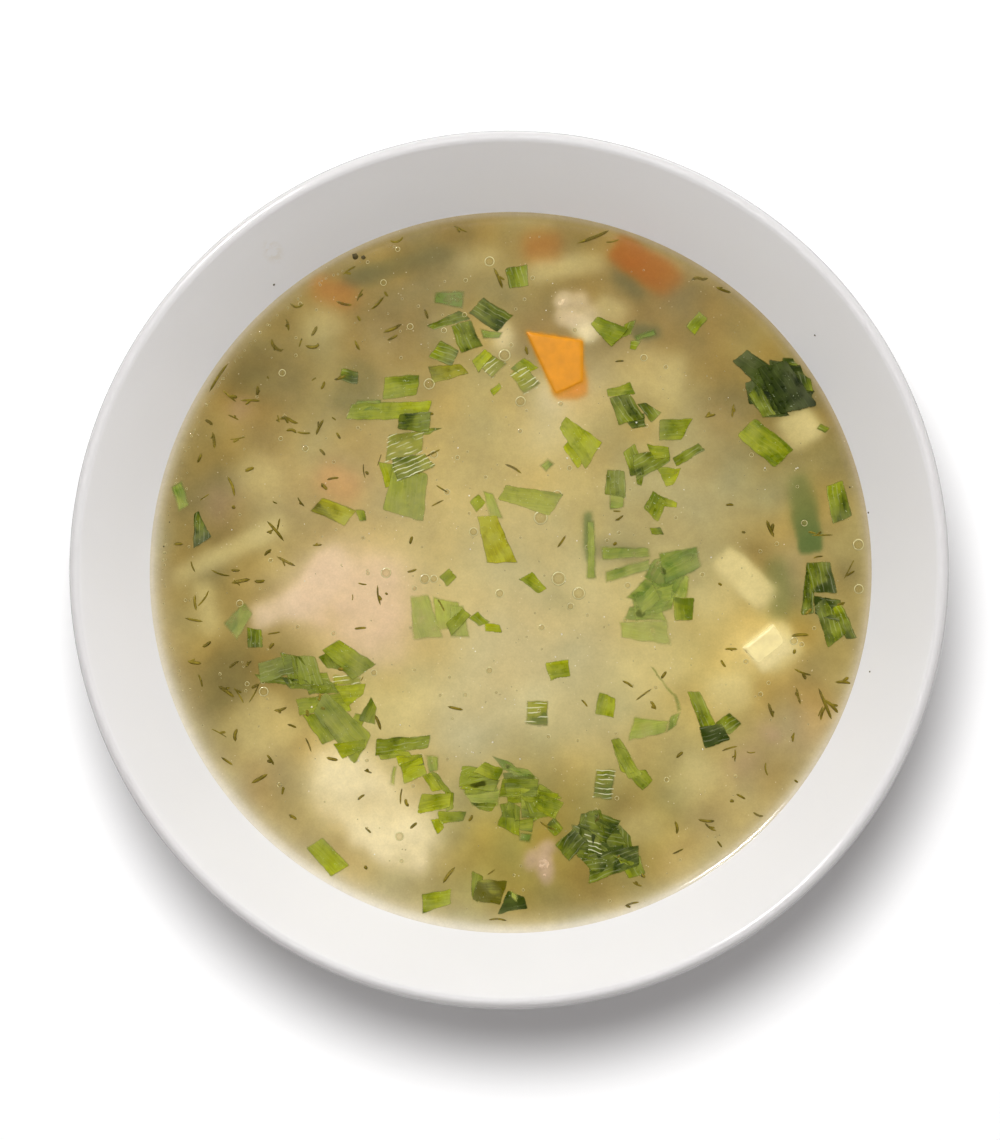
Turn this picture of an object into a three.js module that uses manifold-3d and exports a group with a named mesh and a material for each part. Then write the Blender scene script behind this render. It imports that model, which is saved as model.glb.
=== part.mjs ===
// Bowl of pork clear soup: a white porcelain bowl, the broth in it, and what floats in or stands
// through the broth's surface. Millimetres, +Z up, origin under the middle of the foot ring.
import * as THREE from "three";
import Module from "manifold-3d";
import { mergeVertices } from "three/addons/utils/BufferGeometryUtils.js";

const wasm = await Module();
wasm.setup();

// The bowl
const RIM_RADIUS = 105;
const BOWL_HEIGHT = 58;
const LIP_WIDTH = 3.4;
const FOOT_OUTER_RADIUS = 50;
const FOOT_WIDTH = 4;
const FOOT_BEVEL = 0.8;
const RECESS_HEIGHT = 3.2;
const FLOOR_HEIGHT = 8;
const FLOOR_RADIUS = 44;
const ROUND_FACETS = 56;

// The broth
const SOUP_LEVEL = 39;
const MENISCUS_WIDTH = 2.4;
const MENISCUS_RISE = 0.7;
const GAP = 0.3;

// The cut leaves of spring onion
const LEAF_THICKNESS = 0.6;
const LEAF_RIPPLE = 0.2;
const SMALL_LEAF_PROUD = 0.15;

// The strands of dill
const DILL_COUNT = 100;
const DILL_WIDTH = 0.8;
const DILL_SHORTEST = 2.2;
const DILL_LONGEST = 5.6;
const DILL_PROUD = 0.42;

// The solid pieces that stand through the surface
const CARROT_THICKNESS = 7;
const POTATO_SIZE = [9.6, 8.4, 9];

const degrees = THREE.MathUtils.degToRad;

function material(colour, roughness) {
  return new THREE.MeshStandardMaterial({ color: colour, roughness, metalness: 0 });
}

const object = new THREE.Group();

function place(name, geometry, finish) {
  const mesh = new THREE.Mesh(geometry, finish);
  mesh.name = name;
  object.add(mesh);
}

// Solids that can be joined and cut
function toSolid(geometry) {
  const bare = geometry.clone();
  bare.deleteAttribute("normal");
  bare.deleteAttribute("uv");
  const merged = mergeVertices(bare);
  const corners = merged.index.array;
  const faces = [];
  for (let i = 0; i < corners.length; i += 3) {
    const [a, b, c] = corners.slice(i, i + 3);
    if (a !== b && b !== c && c !== a) faces.push(a, b, c);
  }
  return new wasm.Manifold(new wasm.Mesh({
    numProp: 3,
    vertProperties: merged.attributes.position.array,
    triVerts: Uint32Array.from(faces),
  }));
}

function toGeometry(solid) {
  const mesh = solid.getMesh();
  const geometry = new THREE.BufferGeometry();
  geometry.setAttribute("position", new THREE.BufferAttribute(mesh.vertProperties, 3));
  geometry.setIndex(new THREE.BufferAttribute(mesh.triVerts, 1));
  geometry.computeVertexNormals();
  return geometry;
}

// A number from 0 to 1 that looks random, the same each time for the same two whole numbers
function chance(index, kind) {
  const wave = Math.sin(index * 12.9898 + kind * 78.233) * 43758.5453;
  return wave - Math.floor(wave);
}

function between(low, high, share) {
  return low + (high - low) * share;
}

// The bowl's walls, inner and outer, each one smooth curve from the foot out to the lip
const innerWall = new THREE.CubicBezierCurve(
  new THREE.Vector2(FLOOR_RADIUS, FLOOR_HEIGHT),
  new THREE.Vector2(FLOOR_RADIUS * 1.5, FLOOR_HEIGHT),
  new THREE.Vector2(RIM_RADIUS * 0.743, BOWL_HEIGHT * 0.483),
  new THREE.Vector2(RIM_RADIUS - LIP_WIDTH, BOWL_HEIGHT - 1.5),
);
const outerWall = new THREE.CubicBezierCurve(
  new THREE.Vector2(FOOT_OUTER_RADIUS + 0.9, RECESS_HEIGHT + 0.4),
  new THREE.Vector2(RIM_RADIUS * 0.686, RECESS_HEIGHT + 2.8),
  new THREE.Vector2(RIM_RADIUS * 0.8, BOWL_HEIGHT * 0.465),
  new THREE.Vector2(RIM_RADIUS, BOWL_HEIGHT - 3),
);

const wallPoints = innerWall.getPoints(10);

function lathe(profile) {
  return new THREE.LatheGeometry(profile, ROUND_FACETS).rotateX(Math.PI / 2);
}

function bowl() {
  const footInner = FOOT_OUTER_RADIUS - FOOT_WIDTH;
  // How far in from the rim, as a share of the lip, and how far down from the top its rounding runs
  const lip = [[0.08, 1.1], [0.36, 0], [0.68, 0], [0.92, 0.6]]
    .map(([inward, down]) => new THREE.Vector2(RIM_RADIUS - inward * LIP_WIDTH, BOWL_HEIGHT - down));
  const profile = [
    new THREE.Vector2(0, RECESS_HEIGHT),
    new THREE.Vector2(footInner - 1.4, RECESS_HEIGHT),
    new THREE.Vector2(footInner, FOOT_BEVEL),
    new THREE.Vector2(footInner + FOOT_BEVEL, 0),
    new THREE.Vector2(FOOT_OUTER_RADIUS - FOOT_BEVEL, 0),
    new THREE.Vector2(FOOT_OUTER_RADIUS, FOOT_BEVEL),
    ...outerWall.getPoints(8),
    ...lip,
    ...wallPoints.toReversed(),
    new THREE.Vector2(0, FLOOR_HEIGHT),
  ];
  return lathe(profile);
}

// The inner wall's radius at a height
function wallRadius(height) {
  const k = wallPoints.findIndex((point) => point.y > height);
  const [low, high] = [wallPoints[k - 1], wallPoints[k]];
  return between(low.x, high.x, (height - low.y) / (high.y - low.y));
}

// The broth, which fills the bowl up to its level and climbs the wall a little at its edge
function broth() {
  const edgeHeight = SOUP_LEVEL + MENISCUS_RISE;
  const edge = wallRadius(edgeHeight) - GAP * 1.4;
  const profile = [new THREE.Vector2(0, FLOOR_HEIGHT + GAP)];
  for (const point of wallPoints.filter(({ y }) => y < edgeHeight - 1)) {
    const lean = (point.y - FLOOR_HEIGHT) / (edgeHeight - FLOOR_HEIGHT);
    profile.push(new THREE.Vector2(point.x - GAP * lean, point.y + GAP));
  }
  profile.push(new THREE.Vector2(edge, edgeHeight));
  profile.push(new THREE.Vector2(edge - MENISCUS_WIDTH * 0.4, SOUP_LEVEL + MENISCUS_RISE * 0.25));
  profile.push(new THREE.Vector2(edge - MENISCUS_WIDTH, SOUP_LEVEL));
  profile.push(new THREE.Vector2(0, SOUP_LEVEL));
  return toSolid(lathe(profile));
}

// The outline in plan of a piece of cut leaf. It runs along its length, narrows by taper towards
// its far end, and skew slants its cut ends.
function leafPoint(leaf, along, across) {
  const half = (leaf.wide / 2) * (1 - leaf.taper * (along + 1) / 2);
  const x = (along * leaf.long) / 2 + leaf.skew * across * half;
  const y = across * half;
  const turn = degrees(leaf.turn);
  return new THREE.Vector2(
    leaf.x + x * Math.cos(turn) - y * Math.sin(turn),
    leaf.y + x * Math.sin(turn) + y * Math.cos(turn),
  );
}

function leafCorners(leaf) {
  return [[-1, -1], [1, -1], [1, 1], [-1, 1]].map(([u, v]) => leafPoint(leaf, u, v));
}

// Whether two outlines without dents lie closer than a margin, by looking for a line between them
function near(one, other, margin) {
  for (const outline of [one, other]) {
    for (let i = 0; i < outline.length; i += 1) {
      const side = outline[(i + 1) % outline.length].clone().sub(outline[i]).normalize();
      const normal = new THREE.Vector2(side.y, -side.x);
      const spread = (points) => points.map((point) => point.dot(normal));
      const a = spread(one);
      const b = spread(other);
      const apart = Math.max(Math.min(...a) - Math.max(...b), Math.min(...b) - Math.max(...a));
      if (apart > margin) return false;
    }
  }
  return true;
}

// A thin wavy leaf, both faces split into the same triangles. Its lowest point is at the base.
function leafGeometry(leaf, base, index) {
  const cells = { along: leaf.long > 12 ? 6 : 4, across: leaf.wide > 8 ? 3 : 2 };
  const count = (cells.along + 1) * (cells.across + 1);
  const at = (i, j) => i * (cells.across + 1) + j;
  const lower = [];
  for (let i = 0; i <= cells.along; i += 1) {
    for (let j = 0; j <= cells.across; j += 1) {
      const along = (i / cells.along) * 2 - 1;
      const across = (j / cells.across) * 2 - 1;
      const point = leafPoint(leaf, along, across);
      const wave = Math.sin(along * 2.6 + chance(index, 1) * 6) + across * Math.cos(along * 3 + index);
      lower.push(new THREE.Vector3(point.x, point.y, LEAF_RIPPLE * wave));
    }
  }
  const lowest = Math.min(...lower.map((point) => point.z));
  const positions = [];
  for (const lift of [base - lowest, base - lowest + LEAF_THICKNESS]) {
    for (const point of lower) positions.push(point.x, point.y, point.z + lift);
  }
  const faces = [];
  for (let i = 0; i < cells.along; i += 1) {
    for (let j = 0; j < cells.across; j += 1) {
      const [a, b, c, d] = [at(i, j), at(i + 1, j), at(i + 1, j + 1), at(i, j + 1)];
      faces.push(a, c, b, a, d, c);
      faces.push(a + count, b + count, c + count, a + count, c + count, d + count);
    }
  }
  const rim = [];
  for (let i = 0; i < cells.along; i += 1) rim.push(at(i, 0));
  for (let j = 0; j < cells.across; j += 1) rim.push(at(cells.along, j));
  for (let i = cells.along; i > 0; i -= 1) rim.push(at(i, cells.across));
  for (let j = cells.across; j > 0; j -= 1) rim.push(at(0, j));
  rim.forEach((a, k) => {
    const b = rim[(k + 1) % rim.length];
    faces.push(a, b, b + count, a, b + count, a + count);
  });
  const geometry = new THREE.BufferGeometry();
  geometry.setAttribute("position", new THREE.Float32BufferAttribute(positions, 3));
  geometry.setIndex(faces);
  geometry.computeVertexNormals();
  return geometry;
}

// The cut leaves that are pieces of their own: tone, place, length, width, turn, taper and skew
const LEAVES = [
  ["pale", -14.6, 66.8, 7.8, 5.2, 175, 0.4, 0],
  ["dark", -4.6, 62.8, 9, 6, 147, 0.1, 0.2],
  ["dark", -10.5, 57.5, 7.5, 6, 112, 0.1, 0.1],
  ["ribbed", -4.8, 50.8, 6.6, 5.8, 143, 0.3, 0.2],
  ["ribbed", 3.8, 46.8, 6.6, 5.6, 129, 0.2, 0.1],
  ["mid", -26.5, 45.2, 9, 6, 5, 0.1, 0.2],
  ["mid", -29.5, 39.2, 20.5, 4.2, 1, -0.2, 0.4],
  ["bright", 24, 59, 8, 6.5, 145, 0.6, 0.1],
  ["bright", 17, 32, 11.5, 8, 133, 0.6, -0.3],
  ["dark", 28.5, 39.5, 7.5, 7, 115, 0.3, 0.2],
  ["black", 60.5, 49, 11, 6.5, 140, 0.3, 0.2],
  ["black", 67.5, 44.5, 13, 9, 120, 0.2, 0.3],
  ["bright", 62.5, 31, 12.5, 7, 140, 0.1, 0.1],
  ["dark", -76, 10.5, 8, 5.5, 101, 0.8, -0.4],
  ["olive", -43, 14.5, 9.5, 5, 158, 0.1, 0.3],
  ["ribbed", -25.5, 30.8, 9.6, 7, 11, 0.2, 0.3],
  ["mid", -25, 19, 12, 11, 80, 0.2, 0.1],
  ["pale", -66, -12, 8, 6, 52, 0.4, 0.2],
  ["dark", -57, -24, 9, 5.5, 16, 0.1, 0.1],
  ["dark", -49, -24.5, 7.5, 6.5, 101, 0.3, 0.2],
  ["mid", -39.5, -21.5, 11, 7, 141, 0.3, 0.3],
  ["olive", -3.5, 7.5, 12.5, 7.5, 108, 0.35, 0.3],
  ["bright", 5, 17.5, 14, 6.5, 167, 0.4, 0.3],
  ["pale", -20.9, -11.5, 11.5, 8.2, 101, 0.4, 0.1],
  ["pale", -12.4, -12.5, 8.6, 5.4, 96, 0.3, 0.1],
  ["pale", 20, 5, 15, 3.2, 90, 0.3, 0],
  ["pale", 29, -0.2, 12, 3.6, 16, 0.1, 0.2],
  ["dark", 26, 21.2, 6.8, 5.6, 88, 0.2, 0.1],
  ["dark", 34.9, 26.4, 9.4, 6.6, 20, 0.5, 0.2],
  ["pale", 41.8, 1.6, 10.4, 9, 18, 0.4, 0.1],
  ["pale", 33.6, -6.8, 6.8, 6.4, 35, 0.2, 0.1],
  ["pale", 33, -15, 12.5, 7, 177, 0.4, -0.2],
  ["dark", 80.2, 16.5, 9.5, 5.5, 101, 0.2, -0.2],
  ["dark", 76, -2, 8, 6.5, 101, 0.1, 0.2],
  ["dark", 77.6, -12.6, 10.8, 6, 113, 0.5, -0.3],
  ["mid", -41, -38, 16.5, 8.6, 133, 0.3, -0.3],
  ["dark", -26, -42.5, 13.5, 4.5, 6, 0.3, 0.2],
  ["mid", -23.3, -48.6, 6.4, 5.4, 20, 0.1, 0.1],
  ["bright", -18, -56.5, 8, 5, 7, 0.3, 0.3],
  ["dark", -6.8, -49.8, 10.5, 5.5, 6, 0.7, 0.3],
  ["mid", 2.5, -53, 9.5, 5, 0, 0.1, 0.2],
  ["mid", 0.6, -60.2, 7, 6.4, 75, 0.5, 0.2],
  ["bright", 9.6, -57.4, 6, 5.4, 157, 0.3, 0.1],
  ["mid", 28.2, -45.8, 11, 4, 118, 0.4, 0.2],
  ["dark", 15, -66.6, 6.4, 5.6, 46, 0.2, 0.1],
  ["dark", 21.8, -61.9, 8, 6.8, 155, 0.3, 0.2],
  ["dark", 25.4, -71, 13, 7, 16, 0.3, 0.3],
  ["olive", -4.8, -78, 7.5, 6.6, 175, 0.2, 0.2],
  ["mid", -17.6, -80.2, 7.6, 5.2, 15, 0.3, 0.2],
  ["mid", -44.2, -69.8, 9.8, 5.6, 133, 0.1, 0.2],
  ["pale", 34, -38.5, 9.5, 6.5, 3, 0.5, 0.3],
];

// The small cut leaves that lie in the surface: place, length, width, turn, taper and skew
const SMALL_LEAVES = [
  [2.4, 71.8, 5.4, 4.9, 106, 0.1, 0.1],
  [-15, 62, 9.5, 2.4, 28, 0.1, 0.2],
  [-16.5, 52.5, 6.2, 5.6, 149, 0.3, 0.2],
  [-15.2, 48.4, 10, 3, 16, 0.2, 0.4],
  [-21.7, 35.6, 7.5, 3.6, 9, 0.2, 0.2],
  [32.2, 57.2, 5.1, 3.4, 10, 0.3, 0.2],
  [27.3, 44.6, 6.2, 3.2, 7, 0.1, 0.2],
  [46.1, 60.5, 5.9, 3.4, 41, 0.1, 0.4],
  [76.6, 34.5, 2.6, 2.2, 0, 0.1, 0.1],
  [-62.2, -16.1, 4.6, 3.7, 90, 0.1, 0.1],
  [-38.8, -29.4, 6, 4.5, 173, 0.2, 0.1],
  [-7.7, 16, 4.2, 3.5, 120, 0.3, 0.1],
  [-14.4, -2, 4, 3.3, 132, 0.2, 0.1],
  [5.8, -2.5, 6.1, 3.5, 143, 0.5, 0.1],
  [-5.3, -13.2, 7.4, 3, 167, 0.4, 0.3],
  [12, -24.4, 4.7, 3.8, 17, 0.1, 0.1],
  [42.8, 28.2, 8.4, 3, 31, 0.2, 0.2],
  [39.4, 21.6, 5.6, 4.6, 230, 0.8, 0],
  [36.4, 15.6, 6.4, 5.4, 47, 0.5, 0.1],
  [36.1, 9.5, 3.7, 2.7, 0, 0.4, 0],
  [42.4, -9.4, 5.4, 4.5, 93, 0, 0.1],
  [-34.4, -33.2, 6, 4, 44, 0.5, 0.1],
  [-17.5, -50.6, 9.4, 2.8, 129, 0.1, 0.2],
  [-14.7, -61.4, 8.2, 3.4, 20, 0.2, 0.3],
  [-6.5, -56, 8.2, 4.6, 0, 0.6, 0.3],
  [10.9, -62.5, 3.7, 3.3, 132, 0.3, 0],
  [7, -35.1, 5.6, 5.2, 90, 0.1, 0.1],
  [23.6, -32.9, 5.2, 4, 153, 0.3, 0.1],
  [22.6, -52, 7, 4.2, 83, 0.1, 0.1],
  [32, -51, 6, 4.4, 133, 0.3, 0.1],
  [1.2, -82.2, 5.6, 4, 56, 0.5, 0.1],
  [46.6, -34.2, 9, 3.1, 114, 0.1, 0.2],
  [52.7, -37.6, 5.6, 4, 33, 0.2, 0],
  [48.6, -40.6, 4.6, 3, 7, 0.2, 0.1],
];

const TONES = {
  pale: material(0x8f9a50, 0.5),
  mid: material(0x6f7f22, 0.45),
  bright: material(0x7f8a1c, 0.45),
  olive: material(0x8c8a30, 0.45),
  ribbed: material(0x8a975a, 0.45),
  dark: material(0x4b5a16, 0.4),
  black: material(0x2c3814, 0.4),
};

function leafFrom([x, y, long, wide, turn, taper, skew]) {
  return { x, y, long, wide, turn, taper, skew };
}

// The pieces that stand through the surface, each with its outline in plan and its highest point
function block(outline, thickness, inset, swell) {
  const shape = new THREE.Shape(outline);
  const bevel = { bevelThickness: inset, bevelSize: inset, bevelOffset: swell - inset };
  const options = { depth: thickness - inset * 2, bevelEnabled: true, bevelSegments: 1, ...bevel };
  return new THREE.ExtrudeGeometry(shape, options).translate(0, 0, inset);
}

const carrotOutline = [[4, 58.6], [11.2, 42.4], [18.6, 46], [18.2, 56.4]]
  .map(([x, y]) => new THREE.Vector2(x, y));
const carrotMiddle = new THREE.Vector3(12.6, 50.8, SOUP_LEVEL + 0.75);

// The carrot: a slice with its upper corner highest. Swollen, it is the space it takes up.
function carrot(swell) {
  const local = carrotOutline.map((p) => new THREE.Vector2(p.x - carrotMiddle.x, p.y - carrotMiddle.y));
  const geometry = block(local, CARROT_THICKNESS + swell * 2, 0.6, swell);
  geometry.translate(0, 0, -CARROT_THICKNESS - swell);
  geometry.rotateX(degrees(2.2));
  return geometry.translate(carrotMiddle.x, carrotMiddle.y, carrotMiddle.z);
}

const potatoMiddle = new THREE.Vector3(63, -19.4, SOUP_LEVEL + 0.75);
const potatoTurn = 38;

function potatoOutline() {
  const [long, wide] = POTATO_SIZE;
  return leafCorners(leafFrom([potatoMiddle.x, potatoMiddle.y, long, wide, potatoTurn, 0, 0]));
}

// The potato: a cube whose upper left edge breaks the surface
function potato(swell) {
  const [long, wide, tall] = POTATO_SIZE;
  const square = [[-1, -1], [1, -1], [1, 1], [-1, 1]]
    .map(([u, v]) => new THREE.Vector2((u * long) / 2, (v * wide) / 2));
  const geometry = block(square, tall + swell * 2, 0.7, swell);
  geometry.translate(0, 0, -tall - swell);
  geometry.rotateX(degrees(5));
  geometry.rotateZ(degrees(potatoTurn));
  return geometry.translate(potatoMiddle.x, potatoMiddle.y, potatoMiddle.z);
}

// A lumpy piece, joined from flattened balls: place, half length, half width, half height and turn
function lumps(balls, swell) {
  let joined = null;
  for (const [x, y, z, long, wide, tall, turn] of balls) {
    const ball = new THREE.IcosahedronGeometry(1, 1);
    ball.scale(long + swell, wide + swell, tall + swell).rotateZ(degrees(turn));
    ball.translate(x, y, SOUP_LEVEL + z);
    const solid = toSolid(ball);
    joined = joined ? joined.add(solid) : solid;
  }
  return joined;
}

const PORK_BALLS = [
  [8.6, -71.6, -1.6, 5.6, 2.5, 2.4, 98],
  [5.4, -70.4, -1.7, 3.1, 2, 2.2, 70],
  [9.2, -67.6, -1.7, 2.6, 2.2, 2.2, 20],
];
const FLORET_BALLS = [
  [13.4, 66.2, -1.5, 2.9, 2.5, 2.4, 30],
  [17.4, 66, -1.6, 2.8, 2.6, 2.3, 100],
  [19.8, 62.6, -1.7, 2.7, 2.4, 2.3, 60],
  [14.4, 61.8, -1.5, 3.9, 2.8, 2.5, 165],
];

const carrotSolid = toSolid(carrot(0));
const potatoSolid = toSolid(potato(0));
const porkSolid = lumps(PORK_BALLS, 0);
const floretSolid = lumps(FLORET_BALLS, 0);

// What a leaf may lie across, with the height that it then lies at
const proud = [
  { outline: carrotOutline, top: carrotSolid.boundingBox().max[2] },
  { outline: potatoOutline(), top: potatoSolid.boundingBox().max[2] },
];
for (const [x, y, , long, wide, , turn] of [...PORK_BALLS, ...FLORET_BALLS]) {
  const outline = leafCorners(leafFrom([x, y, long * 2, wide * 2, turn, 0, 0]));
  proud.push({ outline, top: SOUP_LEVEL + 1.1 });
}

// Each leaf lies in the surface, or on the leaves and pieces before it that it lies across
const laid = [...proud];
const tally = {};
LEAVES.forEach(([tone, ...sizes], index) => {
  const leaf = leafFrom(sizes);
  const outline = leafCorners(leaf);
  const below = laid.filter((other) => near(outline, other.outline, GAP));
  const base = Math.max(SOUP_LEVEL, ...below.map((other) => other.top)) + GAP;
  const geometry = leafGeometry(leaf, base, index);
  geometry.computeBoundingBox();
  laid.push({ outline, top: geometry.boundingBox.max.z });
  tally[tone] = (tally[tone] ?? 0) + 1;
  const number = String(tally[tone]).padStart(2, "0");
  place(`onion_${tone}_${number}`, geometry, TONES[tone]);
});

// A small leaf is a flat plate, sunk in the surface but for its upper face
function smallLeaf(leaf) {
  const shape = new THREE.Shape(leafCorners(leaf));
  const options = { depth: LEAF_THICKNESS, bevelEnabled: false };
  const plate = new THREE.ExtrudeGeometry(shape, options);
  return toSolid(plate.translate(0, 0, SOUP_LEVEL + SMALL_LEAF_PROUD - LEAF_THICKNESS));
}

// How thickly the dill lies at a place: most to the left and along the lower right edge
function dillDensity(x, y) {
  const left = THREE.MathUtils.smoothstep(-x, 5, 60);
  const edge = THREE.MathUtils.smoothstep(Math.hypot(x, y), 50, 80);
  const lowerRight = x > 20 && y < 10 ? edge : 0;
  return Math.min(1, 0.3 + 0.75 * left + 0.5 * lowerRight);
}

// The strand's line in the surface: a bent stretch round its middle
function dillStrand(index) {
  const radius = Math.sqrt(chance(index, 1)) * 84;
  const angle = chance(index, 2) * Math.PI * 2;
  const middle = new THREE.Vector2(radius * Math.cos(angle), radius * Math.sin(angle));
  if (chance(index, 3) > dillDensity(middle.x, middle.y)) return null;
  const long = between(DILL_SHORTEST, DILL_LONGEST, chance(index, 4) ** 1.6);
  const turn = chance(index, 5) * Math.PI;
  const half = new THREE.Vector2(Math.cos(turn), Math.sin(turn)).multiplyScalar(long / 2);
  const bend = new THREE.Vector2(-half.y, half.x).multiplyScalar(chance(index, 6) * 1.4 - 0.7);
  return { ends: [middle.clone().sub(half), middle.clone().add(half)], middle, bend };
}

// A strand is a low ridge: a three-sided bar along its line, sunk in the surface but for its top
function dillSolid({ ends, middle, bend }) {
  const at = (point) => new THREE.Vector3(point.x, point.y, SOUP_LEVEL);
  const path = new THREE.QuadraticBezierCurve3(at(ends[0]), at(middle.clone().add(bend)), at(ends[1]));
  const half = DILL_WIDTH / 2;
  const section = new THREE.Shape(
    [[-DILL_PROUD, 0], [half, half], [half, -half]].map(([x, y]) => new THREE.Vector2(x, y)),
  );
  const options = { steps: 2, bevelEnabled: false, extrudePath: path };
  return toSolid(new THREE.ExtrudeGeometry(section, options));
}

// The broth with the small leaves and the dill joined on, cut round the pieces that stand in it
function soup() {
  const covered = [...laid];
  const parts = [];
  for (const sizes of SMALL_LEAVES) {
    const leaf = leafFrom(sizes);
    const outline = leafCorners(leaf);
    if (proud.some((other) => near(outline, other.outline, GAP * 2))) continue;
    covered.push({ outline });
    parts.push(smallLeaf(leaf));
  }
  let strands = 0;
  for (let index = 1; strands < DILL_COUNT; index += 1) {
    const strand = dillStrand(index);
    if (!strand) continue;
    const outline = [...strand.ends, strand.middle.clone().add(strand.bend)];
    const reach = Math.max(...strand.ends.map((end) => end.length()));
    if (reach > wallRadius(SOUP_LEVEL) - MENISCUS_WIDTH - 1) continue;
    if (covered.some((other) => near(outline, other.outline, DILL_WIDTH))) continue;
    covered.push({ outline });
    parts.push(dillSolid(strand));
    strands += 1;
  }
  let solid = broth();
  for (const part of parts) solid = solid.add(part);
  solid = solid.subtract(toSolid(carrot(GAP))).subtract(toSolid(potato(GAP)));
  return solid.subtract(lumps(PORK_BALLS, GAP)).subtract(lumps(FLORET_BALLS, GAP));
}

place("bowl", bowl(), material(0xeeece8, 0.12));
place("soup", toGeometry(soup()), material(0xb39f66, 0.1));
place("carrot", toGeometry(carrotSolid), material(0xea972e, 0.35));
place("potato", toGeometry(potatoSolid), material(0xf0dfa0, 0.4));
place("pork", toGeometry(porkSolid), material(0xc8a98a, 0.45));
place("pale_floret", toGeometry(floretSolid), material(0xd6c29a, 0.5));

export default object;
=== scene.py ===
import math

import bmesh
import bpy
import numpy as np
from mathutils import Matrix, Vector, geometry, noise
from mathutils.bvhtree import BVHTree


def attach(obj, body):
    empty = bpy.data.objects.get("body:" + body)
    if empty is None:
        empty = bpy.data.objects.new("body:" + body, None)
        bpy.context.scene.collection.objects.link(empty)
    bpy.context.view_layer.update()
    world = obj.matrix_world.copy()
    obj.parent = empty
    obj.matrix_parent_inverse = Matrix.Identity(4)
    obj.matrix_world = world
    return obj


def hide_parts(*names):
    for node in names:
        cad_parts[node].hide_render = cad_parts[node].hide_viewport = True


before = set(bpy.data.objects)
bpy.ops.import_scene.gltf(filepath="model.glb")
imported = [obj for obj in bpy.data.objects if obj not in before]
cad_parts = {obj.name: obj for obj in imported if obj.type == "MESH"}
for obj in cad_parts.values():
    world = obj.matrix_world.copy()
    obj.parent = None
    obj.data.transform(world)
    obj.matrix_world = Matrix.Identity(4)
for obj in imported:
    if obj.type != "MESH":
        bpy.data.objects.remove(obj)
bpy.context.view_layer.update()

# The bowl: one piece of white porcelain with a wide sloping wall, a rolled lip and a foot ring. It is
# turned and glazed all over, but for the face of the foot ring, on which it stood in the kiln.
MM = 0.001
RIM_RADIUS = 105.0
BOWL_HEIGHT = 58.0
FLOOR_RADIUS = 44.0
FLOOR_HEIGHT = 8.0
RECESS_HEIGHT = 3.2
FOOT_INNER, FOOT_OUTER = 46.0, 50.0
CREST_RADIUS = 103.2
WALL_TOP = (101.75, 57.3)
LIP_FOOT = 55.4
OUTER_TOP = (104.3, 54.05)
FOOT_TOP = (FOOT_OUTER + 0.9, 3.6)
WALL_BEND = (RIM_RADIUS * 0.743, BOWL_HEIGHT * 0.478)
OUTSIDE_LOW, OUTSIDE_HIGH = (72.0, 6.0), (84.0, 27.0)
BOWL_TURNS = 288

GLAZE_WHITE = (240, 240, 240)
LIP_SHADE_GREY = (216, 215, 214)
RIM_SHADE_GREY = (140, 138, 138)
CLAY_CREAM = (214, 205, 190)
SPLASH_CREAM = (214, 201, 172)
SPLASH_PLACE = (-57.0, 77.0)
SPLASH_RADIUS = 3.2
SPLASH_STRENGTH = 0.35


def linear(shades):
    """Shades as they look on a screen, from 0 to 1, in the linear values that shaders take."""
    shades = np.asarray(shades, float)
    return np.where(shades <= 0.04045, shades / 12.92, ((shades + 0.055) / 1.055) ** 2.4)


def srgb(red, green, blue):
    """A colour as it looks on a screen, from 0 to 255, as a shader's socket takes it."""
    return (*linear([red / 255, green / 255, blue / 255]).tolist(), 1.0)


def bezier(points, count):
    """Places along a cubic curve, from its four points."""
    t = np.linspace(0, 1, count)[:, None]
    a, b, c, d = (np.array(point, float) for point in points)
    return (1 - t) ** 3 * a + 3 * (1 - t) ** 2 * t * b + 3 * (1 - t) * t**2 * c + t**3 * d


def rounded(points, rounds=3):
    """An open line with its corners cut off, again and again, until they are round."""
    points = np.array(points, float)
    for _ in range(rounds):
        near, far = points[:-1] * 0.75 + points[1:] * 0.25, points[:-1] * 0.25 + points[1:] * 0.75
        points = np.vstack([points[:1], np.stack([near, far], 1).reshape(-1, 2), points[-1:]])
    return points


class Wire:
    """A socket that a value comes out of. Arithmetic on it adds Math nodes to its tree."""

    def __init__(self, nodes, socket):
        self.nodes = nodes
        self.socket = socket

    def other(self, name):
        """Another output of the same node."""
        return Wire(self.nodes, self.socket.node.outputs[name])

    def math(self, operation, *values):
        """What a Math node makes of the values."""
        return self.nodes.add("ShaderNodeMath", {"operation": operation}, dict(enumerate(values)))

    def __add__(self, other):
        return self.math("ADD", self, other)

    def __sub__(self, other):
        return self.math("SUBTRACT", self, other)

    def __rsub__(self, other):
        return self.math("SUBTRACT", other, self)

    def __mul__(self, other):
        return self.math("MULTIPLY", self, other)

    def __truediv__(self, other):
        return self.math("DIVIDE", self, other)

    def __pow__(self, other):
        return self.math("POWER", self, other)

    __radd__ = __add__
    __rmul__ = __mul__

    def step(self, low, high):
        """From 0 at low to 1 at high, smoothly."""
        sides = {0: self, 1: low, 2: high, 3: 0.0, 4: 1.0}
        return self.nodes.add("ShaderNodeMapRange", {"interpolation_type": "SMOOTHSTEP"}, sides)


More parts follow.
